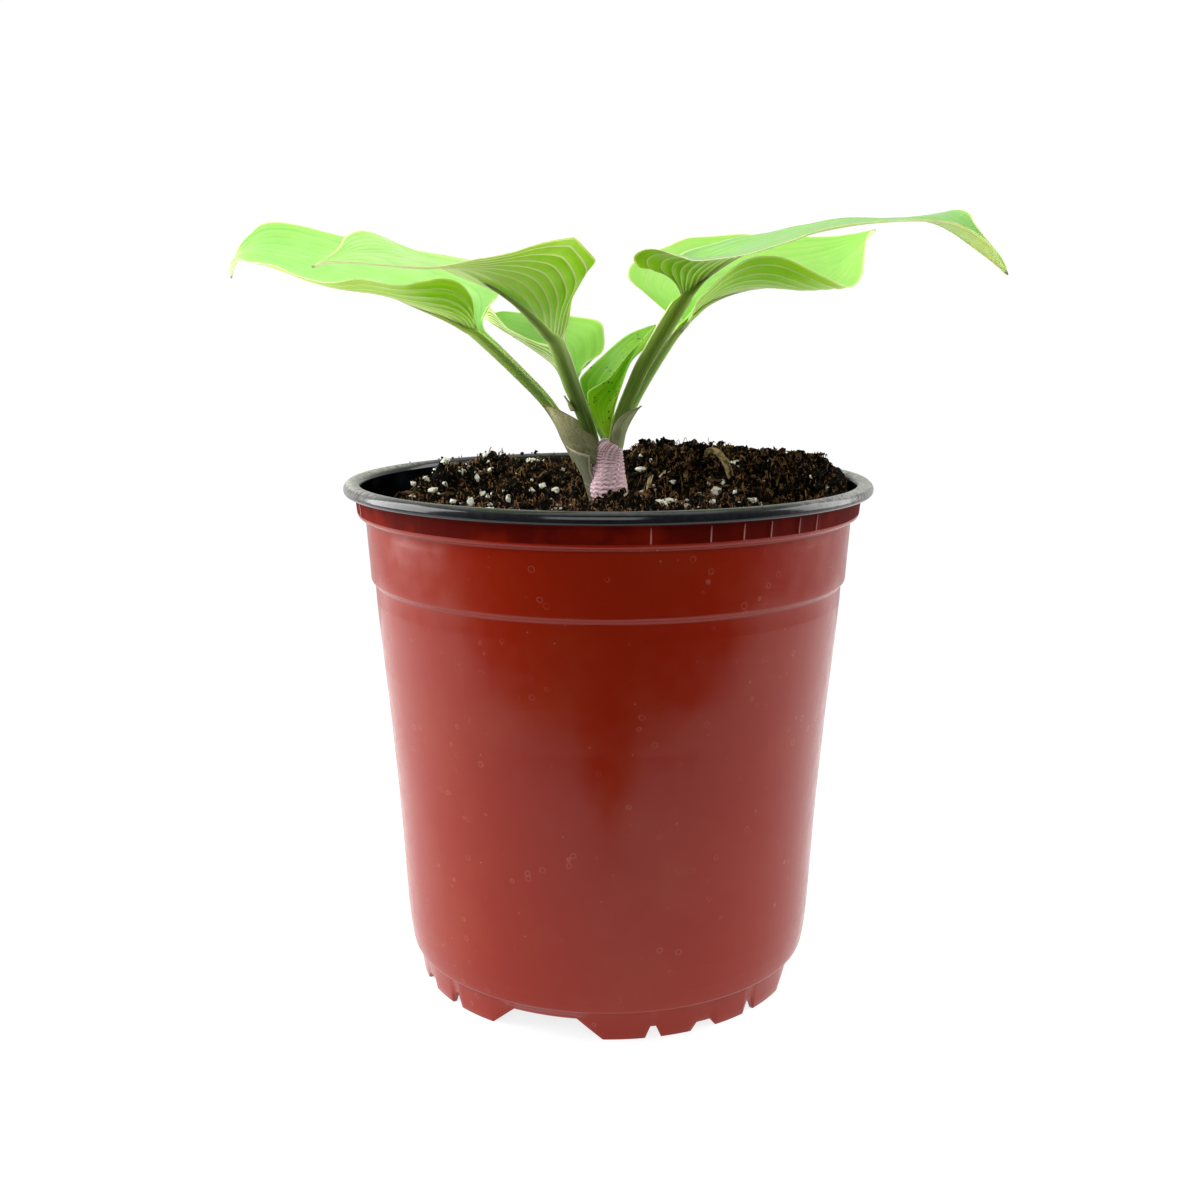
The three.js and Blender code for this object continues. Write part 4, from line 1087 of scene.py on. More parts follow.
# Most rows of rib, left and right were worked out by another program from points taken along
# each leaf's outline and then rounded; the others were adjusted by hand.
LEAVES = [
    Leaf(
        "leaf_left",
        stalk=[[-1.8, 7, 150.5], [-4.2, 6.4, 158], [-11.2, 5.5, 170], [-18.5, 6, 182], [-28, 8, 192],
               [-41, 12, 204]],
        stalk_radii=[1.6, 1.8, 2.1, 2.1, 2.2, 2.4],
        rib=[[-41, 12, 204], [-50, 13, 209], [-61, 15, 213], [-72, 18, 217], [-90, 23, 221],
             [-105, 27, 226], [-116, 30, 229.3], [-123.2, 32, 227.6], [-124.4, 33, 221.6]],
        left=[[0, 2, 2], [-0.02, 11, 10], [-0.01, 18, 15], [0.03, 23, 15], [0.1, 26, 11],
              [0.19, 27, 7], [0.31, 28, 5], [0.43, 28, 1], [0.55, 25, 1], [0.66, 20, 1],
              [0.81, 11, -2], [0.89, 4, -2], [1, 0, 0]],
        right=[[-0.01, 2, 2], [0, 8, 8], [-0.01, 17, 12], [0.02, 27, 18], [0.11, 33, 18],
               [0.25, 35, 16], [0.44, 32, 14], [0.65, 26, 13], [0.79, 20, 12], [0.88, 15, 11],
               [0.92, 10, 8], [0.95, 5, 5], [1, 0, 0]],
        belly=1.2,
        veins=8,
        vein_reach=1.5,
        finish=LeafFinish("leaf_left_green", top=(0.40, 0.80, 0.21)),
    ),
    Leaf(
        "leaf_front",
        stalk=[[-1.6, 3, 150], [-2.8, 3, 160], [-4.6, 2.6, 169], [-5.8, 1.2, 174], [-7.4, -1, 178.5],
               [-10.5, -5, 187], [-16, -11, 202]],
        stalk_radii=[1.5, 1.6, 2, 2.1, 2.2, 2.4, 2.6],
        rib=[[-16, -11, 202], [-25, -20, 212.3], [-35, -31, 219], [-43, -41, 223], [-55, -54, 224.3],
             [-66, -67, 225], [-76, -76, 222]],
        left=[[-0.02, 2, 1], [-0.03, 3, 6], [-0.03, 5, 14], [-0.03, 9, 19], [-0.01, 14.5, 22],
              [0, 16.6, 23], [0.02, 17.2, 22.9], [0.14, 19.6, 20.2], [0.16, 20, 19.7],
              [0.18, 20.6, 18.7], [0.33, 23, 11.1], [0.51, 22, 2.6], [0.71, 20, -2], [0.82, 17, -3],
              [0.93, 12, -1], [0.99, 5, 1], [1, 0, 0]],
        right=[[-0.01, 2, 1], [-0.02, 8, 11], [-0.03, 15, 19], [0.01, 23, 22.8], [0.11, 28, 17.2],
               [0.22, 29, 12.8], [0.36, 30, 9.4], [0.51, 28, 8.6], [0.65, 21, 9], [0.77, 14, 6],
               [0.87, 6, 2], [1, 0, 0]],
        belly=1.5,
        veins=7,
        vein_reach=0.6,
        finish=LeafFinish("leaf_front_green", top=(0.47, 0.84, 0.22), under=(0.60, 0.86, 0.20),
                          under_deep=(0.37, 0.60, 0.015), vein=(0.82, 0.94, 0.50),
                          stalk=(0.085, 0.165, 0.012)),
        tail=(0.95, 0.78, 0.52, 0.22),
    ),
    Leaf(
        "leaf_right",
        stalk=[[2.6, 1.6, 150], [1.8, 1.2, 160], [1.3, 0.8, 168], [2.3, 0.5, 174], [4.2, 0.4, 180],
               [8, -0.6, 189], [11.5, -1.6, 196.5], [22, -4, 214]],
        stalk_radii=[1.5, 1.5, 1.6, 2.1, 2.3, 2.45, 2.55, 2.8],
        rib=[[22, -4, 214], [27, -6, 219.3], [31, -8, 222.7], [41, -12, 228.6], [56, -18, 234],
             [69, -22, 236.2], [83, -27, 237], [94, -30, 235.2], [106, -33, 227], [113, -35, 221]],
        left=[[0.01, 3, -1], [0.01, 9, 9], [-0.04, 13, 14], [0, 18, 16.6], [0.08, 22, 12.2],
              [0.15, 25, 9.8], [0.25, 28, 6.3], [0.34, 29, 5], [0.47, 29, 3.8], [0.6, 28, 2],
              [0.72, 24, 2.5], [0.8, 18, 6.4], [0.85, 12, 8], [0.88, 7, 6], [0.97, 1, 3], [1, 0, 0]],
        right=[[0, 2, 1], [0.01, 5, 4], [-0.015, 14, 8.6], [-0.055, 23, 9.3], [-0.058, 28, 12.2],
               [-0.02, 31, 14], [0.04, 33, 10.4], [0.12, 33, 3], [0.18, 33, -1.3], [0.3, 31, -4.8],
               [0.41, 28, -5.1], [0.5, 25, -3.2], [0.59, 21, -2.2], [0.7, 16, -1.4], [0.77, 13, 0.2],
               [0.84, 10, 3], [0.93, 5, 4], [1, 0, 0]],
        belly=0.3,
        veins=9,
        vein_reach=1.0,
        finish=LeafFinish("leaf_right_green", top=(0.25, 0.51, 0.145), under=(0.40, 0.62, 0.04),
                          under_deep=(0.34, 0.56, 0.008), stalk=(0.13, 0.235, 0.022), roughness=0.36),
        tail=(0.62, 0.3, 0.14, 0.08),
        keel=0.3,
    ),
    Leaf(
        "leaf_back",
        stalk=[[3.4, 6.8, 150], [3.2, 7, 160], [3.4, 7.4, 171], [8.6, 7.8, 184.4], [18.4, 8, 201.3],
               [23.6, 9, 208]],
        stalk_radii=[1.4, 1.5, 1.8, 2, 2.2, 2.2],
        rib=[[23.6, 9, 208], [31, 13.5, 214], [43, 21, 218], [57, 32, 220], [72, 43, 224],
             [83, 52, 230], [93, 60, 239]],
        left=[[0.0, 3, 0.4], [-0.03, 8, 4.6], [-0.06, 13, 9], [-0.085, 18, 13.3], [-0.05, 21.5, 17.6],
              [0.01, 23.4, 18.8], [0.09, 26, 17], [0.19, 29, 16], [0.29, 30, 17], [0.41, 29, 17],
              [0.54, 27, 16], [0.7, 24, 12], [0.85, 16, 6], [0.94, 8, 2], [1, 0, 0]],
        right=[[0, 3, 0], [0, 7, 6], [0.04, 10, 8], [0.1, 11, 9], [0.19, 13, 11], [0.3, 17, 9],
               [0.44, 22, 2], [0.55, 23, -3], [0.66, 19, -2], [0.78, 11, 3], [0.89, 4, 4], [1, 0, 0]],
        belly=1.5,
        veins=7,
        vein_reach=1.3,
        finish=LeafFinish("leaf_back_green", top=(0.38, 0.74, 0.13), under=(0.48, 0.70, 0.10),
                          stalk=(0.34, 0.55, 0.14), stalk_foot=(0.20, 0.24, 0.10)),
    ),
    Leaf(
        "leaf_small",
        stalk=[[-1.5, 10.5, 150], [-3, 10, 158], [-5.6, 10.5, 169], [-8.6, 11.4, 179], [-12, 12, 186]],
        stalk_radii=[1.2, 1.3, 1.4, 1.5, 1.6],
        rib=[[-12, 12, 186], [-16, 16, 193], [-21, 21, 197], [-29, 27, 202], [-36, 32, 206],
             [-41, 37, 209]],
        left=[[-0.02, 2, 1], [0, 5, 8], [0.1, 6, 10], [0.3, 6, 6], [0.46, 7, 5], [0.64, 6, 4],
              [0.78, 4, 5], [0.91, 2, 5], [1, 0, 0]],
        right=[[-0.02, 2, 1], [-0.01, 4, 5], [-0.02, 7, 9], [-0.05, 13, 12], [-0.01, 16, 18],
               [0.11, 17, 18], [0.41, 15, 12], [0.6, 14, 9], [0.8, 12, 5], [0.95, 6, 3], [1, 0, 0]],
        belly=0.8,
        veins=5,
        vein_reach=1.0,
        wing_from=0.7,
        finish=LeafFinish("leaf_small_green", top=(0.32, 0.64, 0.10), under=(0.24, 0.40, 0.09),
                          under_deep=(0.20, 0.36, 0.05), cream=(0.62, 0.78, 0.32)),
        rows=96,
        wing_rows=18,
    ),
    Leaf(
        "leaf_young",
        stalk=[[0.8, 5.2, 150], [0.2, 5.2, 160], [-0.8, 4.8, 171]],
        stalk_radii=[1.4, 1.8, 2.1],
        rib=[[-0.6, 4.8, 171], [1, 3.8, 180], [4, 3.2, 189], [7, 4, 196], [12, 6, 201], [15, 10, 207]],
        left=[[-0.02, 2.8, 0], [-0.1, 6, 9], [-0.13, 9, 17], [-0.11, 10, 20], [0.35, 13, 12],
              [0.72, 11, 5], [0.91, 5, 2], [1, 0, 0]],
        right=[[-0.04, 2, 1], [-0.13, 3, 8], [-0.18, 4, 15], [-0.11, 7, 18], [-0.03, 9, 21],
               [0.5, 7, 8], [0.75, 3, 4], [1, 0, 0]],
        belly=0.8,
        veins=5,
        vein_reach=1.0,
        wing_from=0.75,
        finish=LeafFinish("leaf_young_green", top=(0.16, 0.40, 0.012), top_line=(0.12, 0.32, 0.008),
                          under=(0.38, 0.66, 0.010), under_deep=(0.30, 0.58, 0.005), vein=(0.42, 0.66, 0.05),
                          cream=(0.36, 0.56, 0.12), dirt=0.9),
        rows=96,
        wing_rows=18,
    ),
]


# ---------------- sheaths and scales


@dataclass(frozen=True)
class Sheath:
    """A dry sheath or scale: a thin sheet that wraps part of the way round a stalk.

    Each station is the middle of its arc, the arc's radius, and the two angles in
    degrees between which it runs, counted from the front towards the right.
    """

    node: str
    stations: list[list[float]]
    finish: SheathFinish
    thickness: float = 0.45
    rows: int = 72
    columns: int = 44
    ragged: float = 0.0
    wrinkle: float = 0.0
    streaks: float = 0.06
    curl: float = 0.0
    slant: float = 0.0
    folds: float = 58.0

    def shell(self) -> Shell:
        """The sheath as a closed sheet.

        A point stands at its row's middle plus its radius in the direction of its
        angle. The last rows stop short by a ragged amount that changes round the
        sheet; waves across it, slanted by noise, fade from the foot upwards, and
        streaks run lengthwise.

        Returns:
            The sheet, with the values along, around and edge.
        """
        along = np.linspace(0.0, 1.0, self.rows)[:, None]
        around = np.linspace(0.0, 1.0, self.columns)[None, :]
        along, around = np.broadcast_arrays(along, around)
        notch = np.stack([around * 11.0, np.zeros_like(around), np.full_like(around, 0.3)], axis=-1)
        torn = self.ragged * (0.5 + 0.5 * layered_noise(notch, 21, 2))
        reach = along * (1.0 - torn)
        curve = SmoothCurve(np.array(self.stations, float)).free(reach)
        middle, radius, start, end = curve[..., :3], curve[..., 3], curve[..., 4], curve[..., 5]
        angle = np.radians(start + (end - start) * around)
        away = np.stack([np.sin(angle), -np.cos(angle), np.zeros_like(angle)], axis=-1)
        middle = middle - np.array([0.0, 0.0, self.slant]) * (around * reach)[..., None]
        place = np.stack([around * 3.0, reach * 5.0, np.zeros_like(reach)], axis=-1)
        sway = 3.0 * lattice_noise(place * 0.8, 5) + 1.1 * lattice_noise(place * 2.3, 6)
        wave = np.sin(reach * self.folds + around * 5.0 + sway)
        fine = np.stack([around * 34.0, reach * 3.0, np.ones_like(reach)], axis=-1)
        fading = 1.0 - smoothstep(reach, 0.45, 0.8)
        relief = self.wrinkle * wave * fading + self.streaks * lattice_noise(fine, 7)
        relief = relief + 0.25 * lattice_noise(place * 0.8, 8)
        side = np.minimum(around, 1.0 - around)
        relief = relief + self.curl * (np.exp(-((1.0 - reach) / 0.05) ** 2) + np.exp(-(side / 0.035) ** 2))
        width = np.radians(end - start) * radius
        to_edge = np.minimum(np.minimum(side * width, (1.0 - reach - torn) * 20.0), 5.0)
        to_edge = np.where(along > 0.999, 0.0, np.maximum(to_edge, 0.0))
        rounded = np.sqrt(np.clip(1.0 - (1.0 - np.minimum(side * width / 0.3, 1.0)) ** 2, 0.0, 1.0))
        outer = middle + away * (radius + relief + 0.5 * self.thickness * rounded)[..., None]
        inner = middle + away * (radius + relief - 0.5 * self.thickness * rounded)[..., None]
        rings = np.concatenate([outer, inner[:, -2:0:-1]], axis=1)
        both = {"along": reach, "around": around * width, "edge": to_edge}
        values = {k: np.concatenate([v, v[:, -2:0:-1]], axis=1) for k, v in both.items()}
        return leaf_stack(rings, values)

    def build(self, bench: Bench) -> None:
        """Builds the piece that stands for the sheath's node."""
        slot = Slot.SHEATH if self.node.startswith("sheath") else Slot.SCALE
        bench.place("dry_" + self.node, self.shell(), self.finish.make(), slot, [self.node])


SHEATHS = [
    Sheath(
        "sheath_front",
        stations=[[1.6, 2.2, 150, 5.3, -104, 104], [0.3, 2.1, 155, 5.8, -100, 100],
                  [-0.1, 2, 160, 5.2, -98, 96], [0, 2, 164.5, 4.6, -96, 94],
                  [0, 2, 167.6, 4.3, -94, 90], [-0.1, 1.9, 169.9, 3.4, -88, 80],
                  [-0.3, 1.5, 171.3, 2.1, -76, 66], [-0.5, 1.2, 172.1, 0.9, -60, 50]],
        finish=SheathFinish("sheath_mauve", (0.28, 0.12, 0.155), (0.82, 0.62, 0.67), (0.92, 0.62, 0.69),
                            (0.88, 0.84, 0.74), 0.6, 0.0, 150.0),
        rows=136,
        columns=48,
        ragged=0.05,
        wrinkle=0.11,
        folds=150.0,
    ),
    Sheath(
        "sheath_left",
        stations=[[-1, 4.6, 150, 4.4, -110, -20], [-2, 4.4, 156, 4.8, -110, -16],
                  [-3, 4.2, 160, 5.1, -108, -12], [-4.4, 3.9, 164, 5.5, -105, -8],
                  [-7.6, 3.7, 170.8, 6.1, -100, 18]],
        finish=SheathFinish("sheath_grey_green", (0.16, 0.17, 0.10), (0.25, 0.26, 0.16), (0.14, 0.115, 0.075),
                            (0.50, 0.44, 0.34), 0.3, 0.15),
        ragged=0.02,
        slant=3.8,
    ),
    Sheath(
        "scale_left",
        stations=[[-5.5, 4.2, 164, 5.4, -90, 40], [-8.3, 3.6, 170.6, 5.6, -90, 55],
                  [-10.3, 3.4, 174.3, 5.3, -90, 49], [-12.6, 3.8, 177.6, 4.7, -88, 41],
                  [-15.4, 4.6, 180.3, 3.5, -85, 18], [-17.6, 5.2, 182.3, 3, -65, -12]],
        finish=SheathFinish("scale_tan", (0.27, 0.26, 0.12), (0.40, 0.36, 0.18), (0.17, 0.18, 0.085),
                            (0.22, 0.12, 0.07), 0.1, 0.5),
        ragged=0.03,
        curl=0.3,
    ),
    Sheath(
        "scale_right",
        stations=[[1.4, 3.0, 160, 1.9, 20, 130], [1.6, 2.7, 166, 2.2, -10, 140],
                  [2.0, 1.9, 170.9, 2.7, -23, 135], [2.4, 0.6, 174.3, 3.1, -22, 130],
                  [3.6, 0.5, 177.3, 3.2, -22, 115], [5.5, 0.4, 180.4, 3.2, 4, 100],
                  [7.4, 0.3, 182.3, 3.3, 62, 88]],
        finish=SheathFinish("scale_grey_green", (0.24, 0.29, 0.12), (0.42, 0.46, 0.25), (0.34, 0.38, 0.20),
                            (0.30, 0.24, 0.16), 0.1, 0.1),
        ragged=0.03,
    ),
    Sheath(
        "scale_green",
        stations=[[-9.2, -3.0, 180.8, 2.3, -125, -20], [-9.6, -3.4, 182.6, 2.5, -118, -32],
                  [-10.1, -3.8, 184.2, 2.7, -110, -50], [-10.8, -4.1, 185.6, 2.9, -102, -80]],
        finish=SheathFinish("scale_small_green", (0.20, 0.30, 0.06), (0.30, 0.38, 0.12), (0.14, 0.18, 0.04),
                            (0.20, 0.16, 0.08), 0.1, 0.2),
        ragged=0.08,
        rows=30,
        columns=24,
    ),
]


# ---------------- pot


@dataclass(frozen=True)
class Notch:
    """A notch in the foot's skirt: its place as a share of a quarter, its spans in degrees
    and its height in millimetres."""

    share: float
    # The places were measured on the soil and then moved.
    foot_span: float
    top_span: float
    height: float


@dataclass(frozen=True)
class Pot:
    """The round nursery pot, turned from one profile and notched at the foot.

    The radii, heights and notches are measured values, rounded or picked. Lengths
    are in millimetres and quarters and spans in degrees. The ticks fade in between the
    first two heights of tick_fade and out between the last two.
    """

    sectors_per_tick: int = 6
    wall: float = 1.1
    floor_low: float = 9.0
    floor_high: float = 10.0
    corner: float = 0.35
    ticks: int = 52
    tick_height: float = 0.22
    hole_ring: float = 38.0
    hole_radius: float = 5.0
    holes: int = 6
    hole_sides: int = 48
    floor_radius: float = 61.4
    wedge_start: float = 6.0
    plug_radius: float = 6.2
    tick_fade: tuple[float, ...] = (150.6, 151.2, 155.0, 155.8)
    # heights of the collar, whose faces take the finish with painted shade
    painted_shade_band: tuple[float, float] = (150.9, 156.6)
    lining_top: float = 158.0
    rim_inside: float = 78.6
    quarters: tuple[float, ...] = (-110.0, -18.1, 76.3, 163.0)
    notches: tuple[Notch, ...] = (
        Notch(0.0, 33.0, 18.5, 6.4),
        Notch(0.323, 4.6, 1.6, 3.6),
        Notch(0.484, 8.2, 4.4, 2.5),
        Notch(0.66, 4.6, 1.6, 3.6),
    )
    outside: tuple[tuple[float, float], ...] = (
        (61.6, 0.0), (62.0, 3.0), (62.7, 8.9), (62.9, 9.4), (64.1, 9.7), (64.5, 10.3), (64.9, 12.5),
        (65.4, 16.0), (66.05, 23.0), (66.7, 35.0), (67.5, 50.0), (68.4, 64.0), (69.5, 78.0),
        (70.4, 90.0), (71.65, 103.0), (72.2, 110.0), (72.8, 117.0), (73.3, 123.0), (73.55, 128.3),
        (73.8, 128.9), (74.55, 129.5), (74.8, 130.1), (75.1, 135.5), (75.4, 140.0), (75.75, 145.5),
        (75.9, 148.6), (76.1, 149.1), (77.5, 149.35), (78.2, 149.9), (78.4, 150.8), (78.5, 152.0),
        (78.9, 155.6),
    )
    rim: tuple[tuple[float, float], ...] = (
        (79.4, 156.5), (81.7, 156.3), (82.35, 156.9), (82.5, 158.0), (82.1, 159.0), (81.2, 159.75),
        (80.0, 160.0), (78.6, 159.8), (77.7, 159.3), (77.1, 158.2),
    )

    def skirt(self, angle: Array) -> Array:
        """Height of the skirt's lower edge round the pot: each notch is a trapezium."""
        height = np.zeros_like(angle)
        following = (*self.quarters[1:], self.quarters[0] + 360.0)
        for start, stop in zip(self.quarters, following):
            for notch in self.notches:
                turn = np.degrees(angle) - start - notch.share * (stop - start)
                off = np.abs((turn + 180.0) % 360.0 - 180.0)
                low, high = notch.foot_span / 2, notch.top_span / 2
                height = np.maximum(height, notch.height * np.clip((low - off) / (low - high), 0.0, 1.0))
        return height

    def profile(self) -> tuple[Array, Array]:
        """The closed section, from the foot up the outside and down the inside.

        Each corner is cut back by a set distance, or a third of the shorter side, and
        replaced by a parabola through three points.

        Returns:
            Radius and height of each point, and for each point 1 from the first rim point on, else 0.
        """
        outer = np.array(self.outside)
        inner = outer[::-1].copy()
        inner[:, 0] -= self.wall
        inner = inner[(inner[:, 1] > self.floor_high) & (inner[:, 1] < 155.0)][::2]
        foot = np.array([[outer[4, 0] - 2.6, self.floor_high + 0.2], [60.6, self.floor_low], [60.1, 0.0]])
        rough = np.concatenate([outer, np.array(self.rim), inner, foot])
        before, after = np.roll(rough, 1, axis=0) - rough, np.roll(rough, -1, axis=0) - rough
        back, on = np.linalg.norm(before, axis=1), np.linalg.norm(after, axis=1)
        cut = np.minimum(self.corner, np.minimum(back, on) / 3.0)[:, None]
        start, stop = rough + before / back[:, None] * cut, rough + after / on[:, None] * cut
        t = np.linspace(0.0, 1.0, 3)[None, :, None]
        bend = start[:, None] * (1 - t) ** 2 + 2 * rough[:, None] * t * (1 - t) + stop[:, None] * t**2
        black = np.zeros(len(rough))
        black[len(outer) :] = 1.0
        return bend.reshape(-1, 2), black.repeat(3)

    def tick_bearings(self) -> Array:
        """Bearings of the collar's ticks in radians, a little uneven."""
        wobble = np.random.default_rng(12).uniform(-0.16, 0.16, self.ticks)
        return (np.arange(self.ticks) + wobble) * FULL_TURN / self.ticks

    def bearings(self) -> Array:
        """Bearings of the sectors' edges in radians.

        Three stand close together at each tick, the others evenly between ticks, and
        one at each corner of a notch.

        Returns:
            The bearings in rising order, with near doubles left out.
        """
        ticks = self.tick_bearings()
        gap = np.diff(ticks, append=ticks[0] + FULL_TURN)
        line = math.radians(0.3)
        share = np.arange(1, self.sectors_per_tick - 2) / (self.sectors_per_tick - 2)
        between = ticks[:, None] + line + (gap[:, None] - 2 * line) * share
        quarters = np.array(self.quarters)
        spans = np.diff(quarters, append=quarters[0] + 360.0)
        middles = [quarters + notch.share * spans for notch in self.notches]
        corners = [
            np.radians(middle + turn * span / 2)
            for middle, notch in zip(middles, self.notches)
            for span in (notch.foot_span, notch.top_span)
            for turn in (-1.0, 1.0)
        ]
        every = np.concatenate([ticks - line, ticks, ticks + line, between.ravel(), *corners]) % FULL_TURN
        every = np.sort(every)
        return every[np.diff(every, prepend=-1.0) > math.radians(0.05)]

    def wall_shell(self) -> Shell:
        """The wall, rim and skirt: the section turned round, with its foot notched.

        Below the floor the section is squeezed upwards so that it starts at the
        skirt's edge. The collar under the rim carries thin upright ticks.

        Returns:
            The wall, with the values inner, rim and line.
        """
        section, black = self.profile()
        angle = self.bearings()
        radius, height = section[:, 0][:, None], section[:, 1][:, None]
        radius, height, turn = (a.copy() for a in np.broadcast_arrays(radius, height, angle[None]))
        low = height < self.floor_low - 0.2
        squeezed = self.skirt(turn) + height * (1.0 - self.skirt(turn) / self.floor_low)
        height = np.where(low, squeezed, height)
        apart = angle[:, None] - self.tick_bearings()[None]
        off_tick = np.abs((apart + math.pi) % FULL_TURN - math.pi).min(axis=1)
        tick = (off_tick < math.radians(0.1)).astype(float)[None]
        patch = np.stack([turn * 4.0, np.zeros_like(turn), np.zeros_like(turn)], axis=-1)
        faint = 0.12 + 0.88 * (lattice_noise(patch, 3) > 0.1)
        foot, full, fading, top = self.tick_fade
        on_collar = smoothstep(height, foot, full) * (1.0 - smoothstep(height, fading, top))
        on_collar = on_collar * (black[:, None] < 0.5)
        radius = radius + self.tick_height * tick * faint * on_collar
        rings = np.stack([radius * np.sin(turn), -radius * np.cos(turn), height], axis=-1)
        rings = np.moveaxis(rings, 0, 1)
        quads = grid_quads(len(angle) + 1, len(section), True) % (len(angle) * len(section))
        rim = smoothstep(section[:, 1], 156.0, 158.5) * smoothstep(section[:, 0], 80.0, 81.5)
        values = {
            "inner": np.tile(black, len(angle)),
            "rim": np.tile(rim, len(angle)),
            # line: where the ticks stand; the collar finish paints them paler as painted highlight
            "line": (tick * faint * on_collar).T.ravel(),
        }
        return Shell(rings.reshape(-1, 3), quads, values=values).outward()

    def floor_shell(self) -> Shell:
        """The floor: a disc with six drain holes, made of six equal wedges.

        In a wedge, a point runs from the hole's edge, at a share of 0, to the wedge's
        outline, at 1. The outline is a box in radius and angle, from the middle plug
        to the wall, and is met by the ray at each direction round the hole.

        Returns:
            The wedges and the middle plug as one shell.
        """
        around = np.linspace(0.0, FULL_TURN, self.hole_sides, endpoint=False)
        square = np.stack([np.cos(around), np.sin(around)], axis=-1)
        square = square / np.abs(square).max(axis=-1, keepdims=True)
        outward, inward = self.floor_radius - self.hole_ring, self.hole_ring - self.wedge_start
        reach = np.where(square[:, 0] > 0, outward, inward)
        far_radius = self.hole_ring + square[:, 0] * reach
        far_angle = square[:, 1] * math.pi / self.holes
        far = np.stack([far_radius * np.cos(far_angle), far_radius * np.sin(far_angle)], axis=-1)
        near = np.stack([np.cos(around), np.sin(around)], axis=-1) * self.hole_radius + [self.hole_ring, 0.0]
        share = np.linspace(0.0, 1.0, 7)[:, None, None]
        flat = near * (1 - share) + far * share
        high = np.concatenate([flat, np.full((*flat.shape[:2], 1), self.floor_high)], axis=-1)
        low = np.concatenate([flat, np.full((*flat.shape[:2], 1), self.floor_low)], axis=-1)
        rings = np.concatenate([low[::-1], high])
        closed = np.concatenate([rings, rings[:1]])
        wedges = []
        for hole in range(self.holes):
            turn = FULL_TURN * hole / self.holes + math.pi / 2
            cosine, sine = math.cos(turn), math.sin(turn)
            spin = np.array([[cosine, sine, 0], [-sine, cosine, 0], [0, 0, 1]])
            quads = grid_quads(len(closed), self.hole_sides, True)
            wedges.append(Shell(closed.reshape(-1, 3) @ spin, quads).outward())
        angle = np.linspace(0.0, FULL_TURN, self.hole_sides, endpoint=False)
        circle = [self.plug_radius * np.cos(angle), self.plug_radius * np.sin(angle)]
        plug = [[*circle, np.full(self.hole_sides, z)] for z in (self.floor_low, self.floor_high)]
        wedges.append(ring_stack(np.moveaxis(np.array(plug), 1, 2)))
        shell = Shell.joined(wedges)
        shell.values["inner"] = np.ones(len(shell.points))
        return shell

    def build(self, bench: Bench) -> None:
        """Builds the pot's wall and floor, and gives each face of the wall its finish.

        Args:
            bench: Where the pieces go.
        """
        finish = PotFinish()
        red, black = finish.make_red(), finish.make_black()
        shell = self.wall_shell()
        wall = bench.place("nursery_pot", shell, red, Slot.POT, ["pot"])
        wall.data.materials.append(black)
        wall.data.materials.append(finish.make_collar_with_painted_shade())
        inside = finish.make_inside()
        wall.data.materials.append(inside)
        inner = shell.values["inner"][shell.quads].min(axis=1) > 0.5
        height = shell.points[shell.quads, 2].mean(axis=1)
        # the collar's faces take the finish with painted shade and painted tick highlights
        collar = (height > self.painted_shade_band[0]) & (height < self.painted_shade_band[1]) & ~inner
        layer = np.where(collar, 2, np.where(inner & (height < self.lining_top), 3, inner))
        corners = shell.points[shell.quads]
        on_rim = np.hypot(corners[..., 0], corners[..., 1]).mean(axis=1) > self.rim_inside
        layer = np.where(inner & on_rim, 1, layer)
        wall.data.polygons.foreach_set("material_index", layer.astype(np.int32))
        bench.place("pot_floor", self.floor_shell(), inside, Slot.POT)


# ---------------- soil and what lies in it


